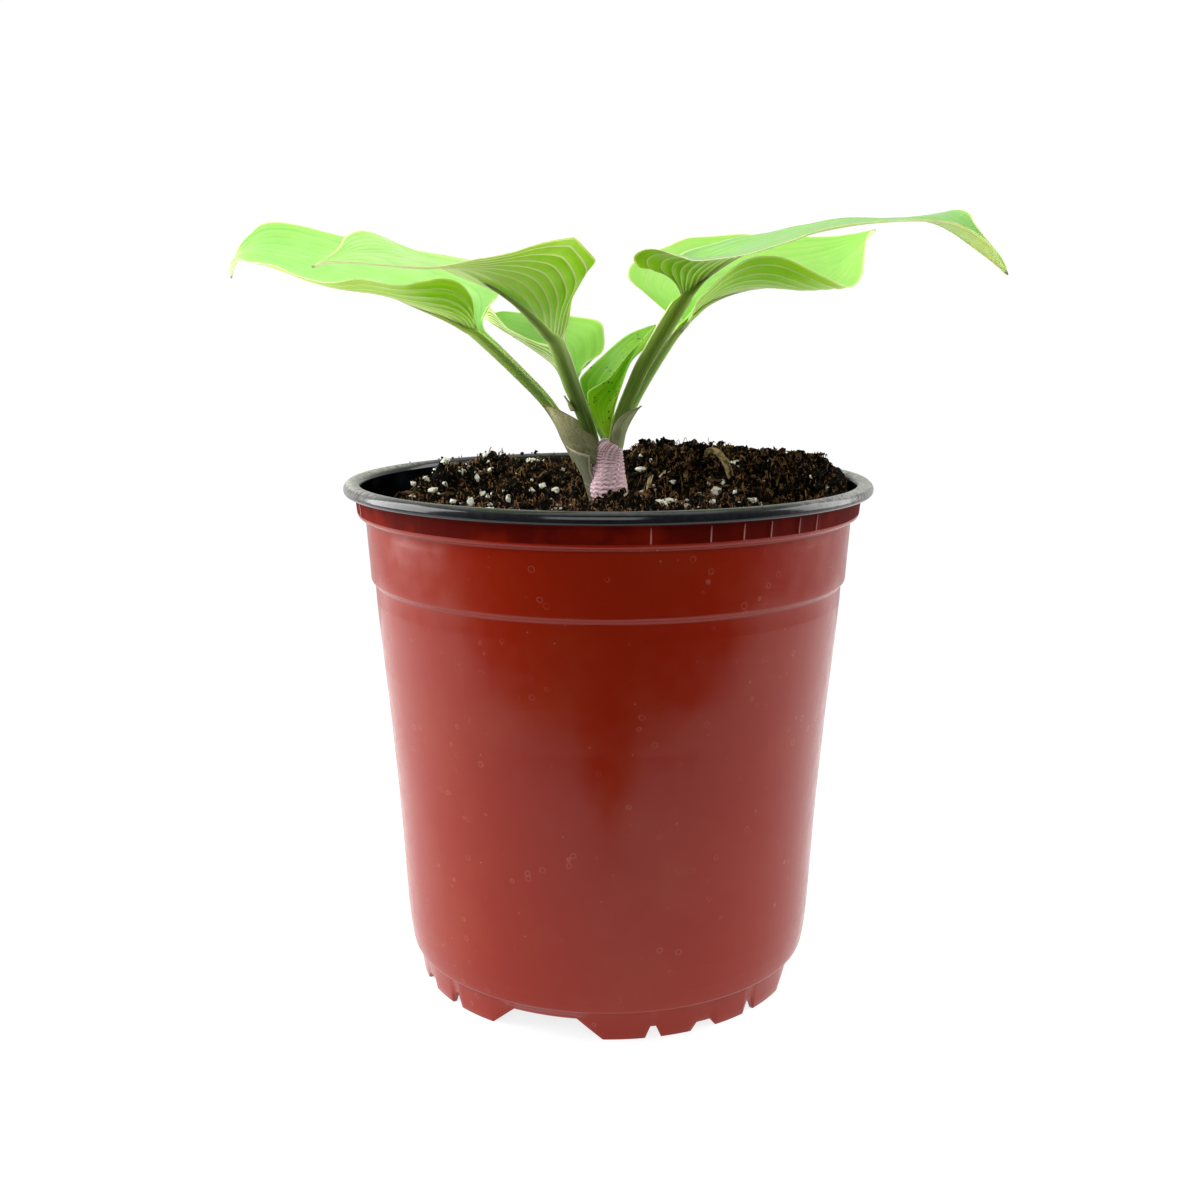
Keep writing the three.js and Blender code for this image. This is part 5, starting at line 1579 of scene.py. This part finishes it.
@dataclass(frozen=True)
class Soil:
    """The potting soil: a level front, a mound behind right and a rise behind left."""

    level: float = 151.0
    edge: float = 75.4
    foot: float = 60.0
    foot_height: float = 10.4
    cells: int = 210
    crown: tuple[float, float] = (0.5, 5.0)
    crumb_count: int = 3000
    rim_crumb_count: int = 16
    clod_count: int = 620
    fibre_count: int = 4300
    mound_fibre_count: int = 1900
    grit_count: int = 400
    heap_grit_count: int = 90

    def settled(self, x: Array, y: Array) -> Array:
        """Height of the soil without its crumbs, banked up against the wall at the right."""
        foot = 16.0 - 0.3 * (x - 10.0)
        mound = 13.0 * smoothstep(x, 0.0, 12.0) * smoothstep(y - foot, -6.0, 12.0)
        rise = 8.5 * smoothstep(-x, -12.0, 16.0) * smoothstep(y, 2.0, 30.0)
        away = np.hypot(x, y)
        bank = 5.2 * smoothstep(x, 46.0, 68.0) * smoothstep(y, -22.0, 2.0) * smoothstep(away, 58.0, 70.0)
        near_wall = 1.0 - 0.6 * smoothstep(away, 58.0, 74.0)
        settled_in = 4.5 * smoothstep(away, 62.0, 72.0) * smoothstep(-x, -5.0, 35.0)
        heap = 3.2 * np.exp(-((x - 5.0) ** 2 + (y + 7.5) ** 2) / 20.0)
        waves = 0.6 * np.sin(x / 7.0 + 1.0) * np.cos(y / 6.0)
        return self.level - settled_in + heap + bank + (mound + rise) * near_wall + waves

    def height(self, x: Array, y: Array) -> Array:
        """Height with clods and crumbs, which fade out beside a grain and the shoots.

        Clods are noise 10 mm long, crumbs the size of noise 3.6 and 1.6 mm long.
        """
        place = np.stack([x, y, np.zeros_like(x)], axis=-1)
        clods = 4.2 * layered_noise(place / 10.0, 31, 2) - 0.6
        coarse = 2.8 * np.abs(lattice_noise(place / 3.6, 41))
        crumbs = coarse + 1.9 * np.abs(lattice_noise(place / 1.6, 43)) - 1.6
        shoots = np.hypot(x - self.crown[0], y - self.crown[1])
        calm = smoothstep(shoots, 6.0, 12.0) * (1.0 - 0.7 * smoothstep(np.hypot(x, y), 68.0, 75.0))
        for grain in GRAINS:
            calm = calm * smoothstep(np.hypot(x - grain.x, y - grain.y), 0.5 * grain.size, 2.4 * grain.size)
        return self.settled(x, y) + (clods + crumbs) * calm

    def body(self) -> Shell:
        """The whole plug of soil: a crumbly top, and plain sides down to the pot's floor.

        The top is a square grid drawn out to a disc, x times the root of 1 less half y
        squared, and is pushed about sideways by noise so that clods overhang.

        Returns:
            The plug, with the value tone.
        """
        line = np.linspace(-1.0, 1.0, self.cells)
        a, b = np.meshgrid(line, line)
        x = self.edge * a * np.sqrt(1.0 - b * b / 2.0)
        y = self.edge * b * np.sqrt(1.0 - a * a / 2.0)
        place = np.stack([x, y, np.zeros_like(x)], axis=-1)
        inside = 1.0 - smoothstep(np.hypot(x, y), self.edge - 9.0, self.edge - 1.0)
        push = np.stack([layered_noise(place / 5.0, 51, 3), layered_noise(place / 5.0, 61, 3)], axis=-1)
        top = np.stack([x, y, self.height(x, y)], axis=-1)
        top[..., :2] += 2.2 * push * inside[..., None]
        tone = 0.5 + 0.5 * layered_noise(place / 3.0, 71, 3)
        edge = self.rim_index()
        ring = top.reshape(-1, 3)[edge]
        drops = np.array([0.25, 0.6, 1.0])[:, None]
        lower = np.stack([
            ring[:, 0] * (1.0 + (self.foot / self.edge - 1.0) * drops),
            ring[:, 1] * (1.0 + (self.foot / self.edge - 1.0) * drops),
            ring[:, 2] + (self.foot_height - ring[:, 2]) * drops,
        ], axis=-1)
        count, size = self.cells**2, len(edge)
        points = np.concatenate([top.reshape(-1, 3), lower.reshape(-1, 3), [[0.0, 0.0, self.foot_height]]])
        around = np.arange(size)
        beside = (around + 1) % size
        first = np.stack([edge[beside], edge[around], count + around, count + beside], axis=1)
        sides = []
        for low in (count, count + size):
            low_pair = [low + beside, low + around]
            high_pair = [low + size + around, low + size + beside]
            sides.append(np.stack([*low_pair, *high_pair], axis=1))
        hub = np.full(size, len(points) - 1)
        cap = np.stack([count + 2 * size + beside, count + 2 * size + around, hub], axis=1)
        quads = np.concatenate([grid_quads(self.cells, self.cells, False), first, *sides])
        tones = np.concatenate([tone.ravel(), np.full(len(points) - count, 0.4)])
        return Shell(points, quads, cap, {"tone": tones}).outward()

    def rim_index(self) -> Array:
        """Point numbers round the top grid's outline."""
        n = self.cells
        number = np.arange(n * n).reshape(n, n)
        return np.concatenate([number[0, :-1], number[:-1, -1], number[-1, :0:-1], number[:0:-1, 0]])

    def scatter(self, count: int, seed: int, reach: float = 73.0) -> tuple[Array, Array, np.random.Generator]:
        """Places strewn evenly over the soil, clear of the shoots.

        Args:
            count: How many to try.
            seed: Seed of the draw.
            reach: Largest distance from the axis.

        Returns:
            Both coordinates of each place, and the generator for further draws.
        """
        draw = np.random.default_rng(seed)
        radius = reach * np.sqrt(draw.random(count))
        angle = FULL_TURN * draw.random(count)
        x, y = radius * np.sin(angle), -radius * np.cos(angle)
        clear = np.hypot(x - self.crown[0], y - self.crown[1]) > 8.0
        return x[clear], y[clear], draw

    def crumbs(self) -> Shell:
        """Crumbs of peat strewn over the top, with some on the rim behind left."""
        x, y, draw = self.scatter(self.crumb_count, 5)
        size = np.clip(0.48 * np.exp(0.5 * draw.standard_normal(len(x))), 0.2, 1.7)
        z = self.height(x, y) + 0.5 * size
        few = self.rim_crumb_count
        turn = np.radians(draw.uniform(196.0, 240.0, few))
        on_rim = np.stack([80.0 * np.sin(turn), -80.0 * np.cos(turn), np.full(few, 160.2)], axis=-1)
        on_rim[:, :2] *= (1.0 + draw.uniform(-0.012, 0.012, few))[:, None]
        places = np.concatenate([np.stack([x, y, z], axis=-1), on_rim])
        sizes = np.concatenate([size, 0.25 + 0.9 * draw.random(few) ** 3])
        tones = draw.random(len(places))
        return lumps(places, sizes, 5, 4, draw, 1.1, tones)

    def clods(self) -> Shell:
        """Tufts and clods along the mound's crest and flank, half sunk in it."""
        draw = np.random.default_rng(17)
        x = draw.uniform(4.0, 68.0, self.clod_count)
        y = 20.0 - 0.3 * (x - 10.0) + draw.uniform(-4.0, 26.0, self.clod_count)
        keep = np.hypot(x, y) < 71.0
        x, y = x[keep], y[keep]
        size = draw.uniform(0.35, 1.35, len(x))
        places = np.stack([x, y, self.height(x, y) + 1.2 * size], axis=-1)
        return lumps(places, size, 7, 5, draw, 1.9, draw.random(len(x)))

    def fibres(self) -> Shell:
        """Fine dead roots and peat fibres lying on the soil, each an arched hair of three sides.

        Returns:
            All fibres as one mesh with the value tone.
        """
        x, y, draw = self.scatter(self.fibre_count, 9, 72.0)
        more_x = draw.uniform(2.0, 68.0, self.mound_fibre_count)
        more_y = 18.0 - 0.3 * (more_x - 10.0) + draw.uniform(-5.0, 24.0, self.mound_fibre_count)
        near = np.hypot(more_x, more_y) < 70.0
        x, y = np.concatenate([x, more_x[near]]), np.concatenate([y, more_y[near]])
        count = len(x)
        steps, sides = 4, 3
        share = np.linspace(0.0, 1.0, steps)[None, :]
        heading = draw.uniform(0.0, FULL_TURN, (count, 1)) + draw.uniform(-1.4, 1.4, (count, 1)) * share
        length = 0.9 + 4.2 * draw.random((count, 1)) ** 4
        px = x[:, None] + np.cumsum(np.cos(heading), axis=1) * length / steps
        py = y[:, None] + np.cumsum(np.sin(heading), axis=1) * length / steps
        arch = draw.uniform(0.2, 1.3, (count, 1)) * np.sin(math.pi * share)
        arch = arch + draw.uniform(-0.4, 2.0, (count, 1)) * share
        inside = np.hypot(px, py) < 74.0
        pz = self.height(px, py) + 0.2 + arch
        pz = np.where(inside, pz, self.level)
        line = np.stack([px, py, pz], axis=-1)
        ahead = unit(np.gradient(line, axis=1))
        across = unit(np.cross(ahead, np.array([0.2, 0.3, 0.93])))
        over = np.cross(ahead, across)
        thick = draw.uniform(0.1, 0.26, (count, 1)) * np.sin(math.pi * (0.12 + 0.76 * share))
        angle = FULL_TURN * np.arange(sides) / sides
        offset = across[:, :, None] * np.cos(angle)[:, None] + over[:, :, None] * np.sin(angle)[:, None]
        rings = line[:, :, None] + thick[:, :, None, None] * offset
        keep = inside.all(axis=1)
        rings = rings[keep]
        per = steps * sides
        shift = per * np.arange(len(rings))[:, None, None]
        quads = (grid_quads(steps, sides, True)[None] + shift).reshape(-1, 4)
        ends = np.array([[2, 1, 0], [per - 3, per - 2, per - 1]])
        caps = (ends[None] + shift).reshape(-1, 3)
        tone = np.repeat(draw.random(len(rings)), per)
        return Shell(rings.reshape(-1, 3), quads, caps, {"tone": tone}).outward()

    def white_grit(self) -> Shell:
        """Small grains of perlite strewn among the crumbs, with two looser heaps of bigger ones."""
        x, y, draw = self.scatter(self.grit_count, 23, 71.0)
        keep = draw.random(len(x)) < np.where(y < 14.0, 1.0, 0.7)
        x, y = x[keep], y[keep]
        heap = draw.random(self.heap_grit_count) < 0.55
        spread_x, spread_y = draw.standard_normal((2, self.heap_grit_count))
        more_x = np.where(heap, -48.0 + 11.0 * spread_x, 28.0 + 14.0 * spread_x)
        more_y = np.where(heap, 16.0 * spread_y, 6.0 + 14.0 * spread_y)
        kept = np.hypot(more_x, more_y) < 69.0
        small = np.clip(0.42 * np.exp(0.4 * draw.standard_normal(len(x))), 0.2, 0.9)
        size = np.concatenate([small, draw.uniform(0.5, 1.25, kept.sum())])
        x, y = np.concatenate([x, more_x[kept]]), np.concatenate([y, more_y[kept]])
        places = np.stack([x, y, self.height(x, y) + 0.7 * size], axis=-1)
        return lumps(places, size, 8, 6, draw, 0.75, draw.random(len(x)))

    def build(self, bench: Bench) -> None:
        """Builds the soil and what is strewn over it."""
        peat = SoilFinish().make("peat")
        bench.place("soil_plug", self.body(), peat, Slot.SOIL, ["potting_soil"])
        bench.place("soil_clods", self.clods(), peat, Slot.SOIL)
        bench.place("soil_crumbs", self.crumbs(), peat, Slot.SOIL)
        fibre = GritFinish("peat_fibre", (0.30, 0.155, 0.062), (0.010, 0.006, 0.003), 3.2, 0.24)
        bench.place("soil_fibres", self.fibres(), fibre.make(), Slot.SOIL)
        grit = GritFinish("perlite_dust", (0.92, 0.92, 0.84), (0.58, 0.50, 0.30), 1.2, 0.11)
        bench.place("white_grit", self.white_grit(), grit.make(), Slot.PERLITE)


def lumps(
    places: Array,
    sizes: Array,
    sides: int,
    bands: int,
    draw: np.random.Generator,
    rough: float,
    tones: Array,
) -> Shell:
    """Rough lumps: balls of rings and bands, each point pushed in or out by noise.

    A point of a ball is (sin p cos q, sin p sin q, cos p); it is pushed along itself
    by 1 plus rough times noise that differs from lump to lump, stretched by its own
    three factors and turned about the upright.

    Args:
        places: Middle of each lump.
        sizes: Half size of each lump.
        sides: Points round each band.
        bands: Bands from pole to pole, poles left out.
        draw: Generator for the stretches and turns.
        rough: Strength of the noise.
        tones: Tone of each lump, from 0 to 1.

    Returns:
        All lumps as one mesh with the value tone.
    """
    count = len(places)
    polar = math.pi * (np.arange(bands) + 1.0) / (bands + 1.0)
    level = FULL_TURN * np.arange(sides) / sides
    ball = np.stack([
        np.sin(polar)[:, None] * np.cos(level)[None],
        np.sin(polar)[:, None] * np.sin(level)[None],
        np.cos(polar)[:, None].repeat(sides, axis=1),
    ], axis=-1).reshape(-1, 3)
    ball = np.concatenate([ball, [[0.0, 0.0, 1.0], [0.0, 0.0, -1.0]]])
    own = ball[None] * 1.7 + draw.uniform(-60.0, 60.0, (count, 1, 3))
    push = 1.0 + rough * (lattice_noise(own, 81) + 0.4 * lattice_noise(own * 2.6, 82))
    stretch = draw.uniform(0.65, 1.3, (count, 1, 3)) * np.array([1.0, 1.0, 0.8])
    shape = ball[None] * push[..., None] * stretch * sizes[:, None, None]
    spin = draw.uniform(0.0, FULL_TURN, (count, 1))
    x = shape[..., 0] * np.cos(spin) - shape[..., 1] * np.sin(spin)
    y = shape[..., 0] * np.sin(spin) + shape[..., 1] * np.cos(spin)
    points = np.stack([x, y, shape[..., 2]], axis=-1) + places[:, None]
    per = len(ball)
    side = np.arange(sides)
    beside = (side + 1) % sides
    last = (bands - 1) * sides
    cap = np.concatenate([
        np.stack([np.full(sides, per - 2), side, beside], axis=1),
        np.stack([np.full(sides, per - 1), last + beside, last + side], axis=1),
    ])
    shift = per * np.arange(count)[:, None, None]
    quads = (grid_quads(bands, sides, True)[None] + shift).reshape(-1, 4)
    triangles = (cap[None] + shift).reshape(-1, 3)
    shell = Shell(points.reshape(-1, 3), quads, triangles, {"tone": np.repeat(tones, per)})
    return shell.outward()


@dataclass(frozen=True)
class Grain:
    """Something loose that lies half sunk in the soil."""

    x: float
    y: float
    size: float


# The places were measured on the soil and then moved by hand.
PERLITE = [
    Grain(-57, 27, 1.3), Grain(-61, 5, 1.2), Grain(-57, 12, 1.3), Grain(-43, -20, 1.8), Grain(-36, -17, 1.6),
    Grain(-39, 26, 1.3), Grain(-26, 44, 2.0), Grain(-17, 12, 1.3), Grain(11, 21, 1.5), Grain(20, 5, 1.9),
    Grain(16, -6, 1.9), Grain(35, 8, 1.6), Grain(41, 14, 1.8), Grain(38, -4, 1.2), Grain(47, 29, 1.5),
    Grain(65, 3, 1.3),
]
BARK = [
    Grain(-64, 14, 3.0), Grain(-52, 10, 2.4), Grain(-41, 24, 2.2), Grain(56, 20, 2.6),
    Grain(-8, -30, 2.6),
]
STRAW = [Grain(13, 15, 1.0), Grain(17, 17, 1.0)]
TUFT = Grain(33, 18, 2.4)
GRAINS = [*PERLITE, *BARK, *STRAW, TUFT]


@dataclass(frozen=True)
class Litter:
    """Perlite, bark, straw and a dead stalk, each a piece of its own on the soil."""

    soil: Soil

    def rest(self, grain: Grain) -> float:
        """Height of the soil under a grain."""
        return float(self.soil.settled(np.array(grain.x), np.array(grain.y)))

    def grain(self, grain: Grain, lift: float, flat: Array, rough: float, seed: int) -> Shell:
        """One lump, stretched by three factors, lifted by a part of its size."""
        draw = np.random.default_rng(seed)
        place = np.array([[grain.x, grain.y, self.rest(grain) + lift * grain.size]])
        shell = lumps(place, np.array([grain.size]), 26, 17, draw, rough, np.array([draw.random()]))
        shell.points = place + (shell.points - place) * flat
        return shell

    def straw(self, grain: Grain, length: float, lean: float, radius: float) -> Shell:
        """A broken straw standing at a lean, split into three strands at its top."""
        foot = np.array([grain.x, grain.y - 2.0, self.rest(grain) + 0.2])
        strands = []
        for strand, spread in enumerate((-0.14, 0.02, 0.16)):
            tilt = math.radians(lean) + spread
            ahead = np.array([math.cos(tilt), 0.25 * spread, math.sin(tilt)])
            share = np.linspace(0.0, 1.0, 6)[:, None]
            bow = np.array([0.0, -1.0, 0.0]) * 0.5 * (strand - 1) * share * (1 - share)
            path = SmoothCurve(foot + ahead * length * (1.0 - 0.12 * strand) * share + bow)
            strands.append(tube(path, (radius, 0.8 * radius, 0.25 * radius), 9, 16))
        return Shell.joined(strands)

    def dead_stalk(self) -> Shell:
        """A dead leaf stalk that arches over the soil, with fibres peeling off it."""
        base = self.rest(TUFT)
        arch = [[-1, 3, -1], [0, 1, 2.8], [2.5, -2, 2.8], [5, -5.5, -0.4], [6.4, -8.5, -5.6]]
        route = np.array(arch, float) + np.array([TUFT.x, TUFT.y, base])
        parts = [tube(SmoothCurve(route), (0.8, 1.0, 0.9, 0.6), 14, 40)]
        draw = np.random.default_rng(3)
        for _ in range(14):
            slide = draw.uniform(-0.9, 0.9, 3)
            lift = draw.uniform(-0.8, 0.8, route.shape) * np.array([1.0, 1.0, 0.6])
            parts.append(tube(SmoothCurve(route + slide + lift), (0.12, 0.2, 0.1), 5, 18))
        return Shell.joined(parts)

    def build(self, bench: Bench) -> None:
        """Builds each loose piece in place of its node."""
        white = GritFinish("perlite_white", (0.90, 0.89, 0.80), (0.55, 0.47, 0.30), 1.6, 0.12).make()
        for number, grain in enumerate(PERLITE, 1):
            shell = self.grain(grain, 0.3, np.array([1.1, 1.0, 1.0]), 0.35, 100 + number)
            bench.place(f"perlite_grain_{number}", shell, white, Slot.PERLITE, [f"perlite_{number}"])
        brown = GritFinish("bark_brown", (0.11, 0.055, 0.026), (0.03, 0.016, 0.008), 1.5, 0.25).make()
        for number, grain in enumerate(BARK, 1):
            shell = self.grain(grain, 0.12, np.array([1.0, 0.62, 0.4]), 0.3, 200 + number)
            bench.place(f"bark_flake_{number}", shell, brown, Slot.BARK, [f"bark_chip_{number}"])
        dry = GritFinish("straw_dry", (0.62, 0.47, 0.29), (0.30, 0.19, 0.10), 1.4, 0.15, 0.6).make()
        bench.place("broken_straw_1", self.straw(STRAW[0], 5.0, 78.0, 0.5), dry, Slot.STRAW, ["straw_1"])
        bench.place("broken_straw_2", self.straw(STRAW[1], 4.0, 40.0, 0.5), dry, Slot.STRAW, ["straw_2"])
        dead = GritFinish("stalk_dead", (0.36, 0.26, 0.12), (0.09, 0.06, 0.028), 1.6, 0.22).make()
        bench.place("arched_dead_stalk", self.dead_stalk(), dead, Slot.STRAW, ["dead_stalk"])


def dress_crown() -> None:
    """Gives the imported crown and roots, which stay as they are, their pale root finish."""
    finish = GritFinish("root_pale", (0.42, 0.33, 0.20), (0.20, 0.13, 0.07), 3.0, 0.2, 0.7).make()
    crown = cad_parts["crown_with_roots"]
    crown.data.materials.clear()
    crown.data.materials.append(finish)
    LOG.info("crown_with_roots: kept, with a root finish")


# ---------------- studio


@dataclass(frozen=True)
class Softbox:
    """A square light: place and aim round the pot's axis in millimetres."""

    name: str
    place: tuple[float, float, float]
    width: float
    height: float
    power: float
    aim: tuple[float, float, float] = (0.0, 0.0, 110.0)
    colour: Colour = (1.0, 1.0, 1.0)

    def hang(self, bench: Bench) -> None:
        """Makes the light and turns it to its aim."""
        data = bpy.data.lights.new(self.name, "AREA")
        data.shape = "RECTANGLE"
        data.size, data.size_y = self.width * MM, self.height * MM
        data.energy = self.power
        data.color = self.colour
        light = bpy.data.objects.new(self.name, data)
        bpy.context.scene.collection.objects.link(light)
        start = Vector((np.array(self.place) + bench.axis) * MM)
        end = Vector((np.array(self.aim) + bench.axis) * MM)
        light.location = start
        light.rotation_euler = (end - start).to_track_quat("-Z", "Y").to_euler()


@dataclass(frozen=True)
class Studio:
    """A pale lit table, a white surround, soft lights at both sides, and the camera.

    The table ends a little in front of the pot, nearest in the middle, and what lies
    past its edge is dark.
    """

    table_edge: tuple[tuple[float, float], ...] = (
        (-450.0, -140.0), (-200.0, -212.0), (-60.0, -236.0), (0.0, -188.0), (60.0, -236.0),
        (200.0, -212.0), (450.0, -140.0),
    )
    table_back: float = 450.0
    camera_place: tuple[float, float, float] = (-2.56, -441.0, 210.3)
    camera_pitch: float = 11.55
    lens: float = 42.0
    softboxes: tuple[Softbox, ...] = (
        Softbox("soft_left", (-620.0, 60.0, 330.0), 500.0, 700.0, 7.6),
        Softbox("soft_right", (640.0, 120.0, 330.0), 450.0, 650.0, 4.0),
        Softbox("soft_top", (0.0, 120.0, 900.0), 800.0, 700.0, 1.6, (0.0, 0.0, 150.0)),
        Softbox("soft_front", (-80.0, -700.0, 520.0), 500.0, 400.0, 2.2),
    )

    def camera(self, bench: Bench) -> None:
        """Sets the camera in front of the pot, a little above it and looking down."""
        data = bpy.data.cameras.new("camera")
        data.lens = self.lens
        data.sensor_width = 36.0
        data.clip_start, data.clip_end = 0.01, 20.0
        camera = bpy.data.objects.new("camera", data)
        bpy.context.scene.collection.objects.link(camera)
        camera.location = Vector((np.array(self.camera_place) + bench.axis) * MM)
        camera.rotation_euler = (math.radians(90.0 - self.camera_pitch), 0.0, 0.0)
        bpy.context.scene.camera = camera

    def table(self, bench: Bench) -> None:
        """Makes the table top, flat at height 0, with a front edge of several sides."""
        front = np.array([[x, y, 0.0] for x, y in self.table_edge])
        back = front * [1.0, 0.0, 1.0] + [0.0, self.table_back, 0.0]
        number = np.arange(len(front) - 1)
        quads = np.stack([number, number + 1, number + 1 + len(front), number + len(front)], axis=1)
        surface = bench.mesh("table_top", Shell(np.concatenate([front, back]), quads))
        floor = bpy.data.objects.new("table_top", surface)
        floor.data.materials.append(FloorFinish().make())
        bpy.context.scene.collection.objects.link(floor)

    def surround(self) -> None:
        """Makes the surround: seen as plain white, and lighting the plant more from behind than in front."""
        world = bpy.data.worlds.new("surround")
        bpy.context.scene.world = world
        world.use_nodes = True
        tree = world.node_tree
        tree.nodes.clear()
        place = tree.nodes.new("ShaderNodeTexCoord")
        split = tree.nodes.new("ShaderNodeSeparateXYZ")
        tree.links.new(place.outputs["Generated"], split.inputs[0])
        behind = tree.nodes.new("ShaderNodeMapRange")
        for name, number in (("From Min", -0.5), ("From Max", 0.4), ("To Min", 0.04), ("To Max", 0.72)):
            behind.inputs[name].default_value = number
        tree.links.new(split.outputs["Y"], behind.inputs["Value"])
        lighting = tree.nodes.new("ShaderNodeBackground")
        tree.links.new(behind.outputs["Result"], lighting.inputs["Strength"])
        seen = tree.nodes.new("ShaderNodeBackground")
        seen.inputs["Strength"].default_value = 1.02
        for node in (lighting, seen):
            node.inputs["Color"].default_value = (1.0, 1.0, 1.0, 1.0)
        path = tree.nodes.new("ShaderNodeLightPath")
        mix = tree.nodes.new("ShaderNodeMixShader")
        tree.links.new(path.outputs["Is Camera Ray"], mix.inputs[0])
        tree.links.new(lighting.outputs[0], mix.inputs[1])
        tree.links.new(seen.outputs[0], mix.inputs[2])
        tree.links.new(mix.outputs[0], tree.nodes.new("ShaderNodeOutputWorld").inputs[0])

    def build(self, bench: Bench) -> None:
        """Builds the whole studio."""
        self.camera(bench)
        self.table(bench)
        self.surround()
        for softbox in self.softboxes:
            softbox.hang(bench)
        bpy.context.scene.view_settings.view_transform = "Standard"
        LOG.info("studio: %d lights", len(self.softboxes))


def write_sizes() -> None:
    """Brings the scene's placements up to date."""
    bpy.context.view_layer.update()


def main() -> None:
    """Builds the studio, the pot, the soil and the plant in order."""
    logging.basicConfig(level=logging.INFO, format="%(name)s: %(message)s")
    bench = Bench.from_frame()
    Studio().build(bench)
    Pot().build(bench)
    soil = Soil()
    soil.build(bench)
    Litter(soil).build(bench)
    dress_crown()
    for leaf in LEAVES:
        leaf.build(bench)
    for sheath in SHEATHS:
        sheath.build(bench)
    write_sizes()


if __name__ == "__main__":
    main()
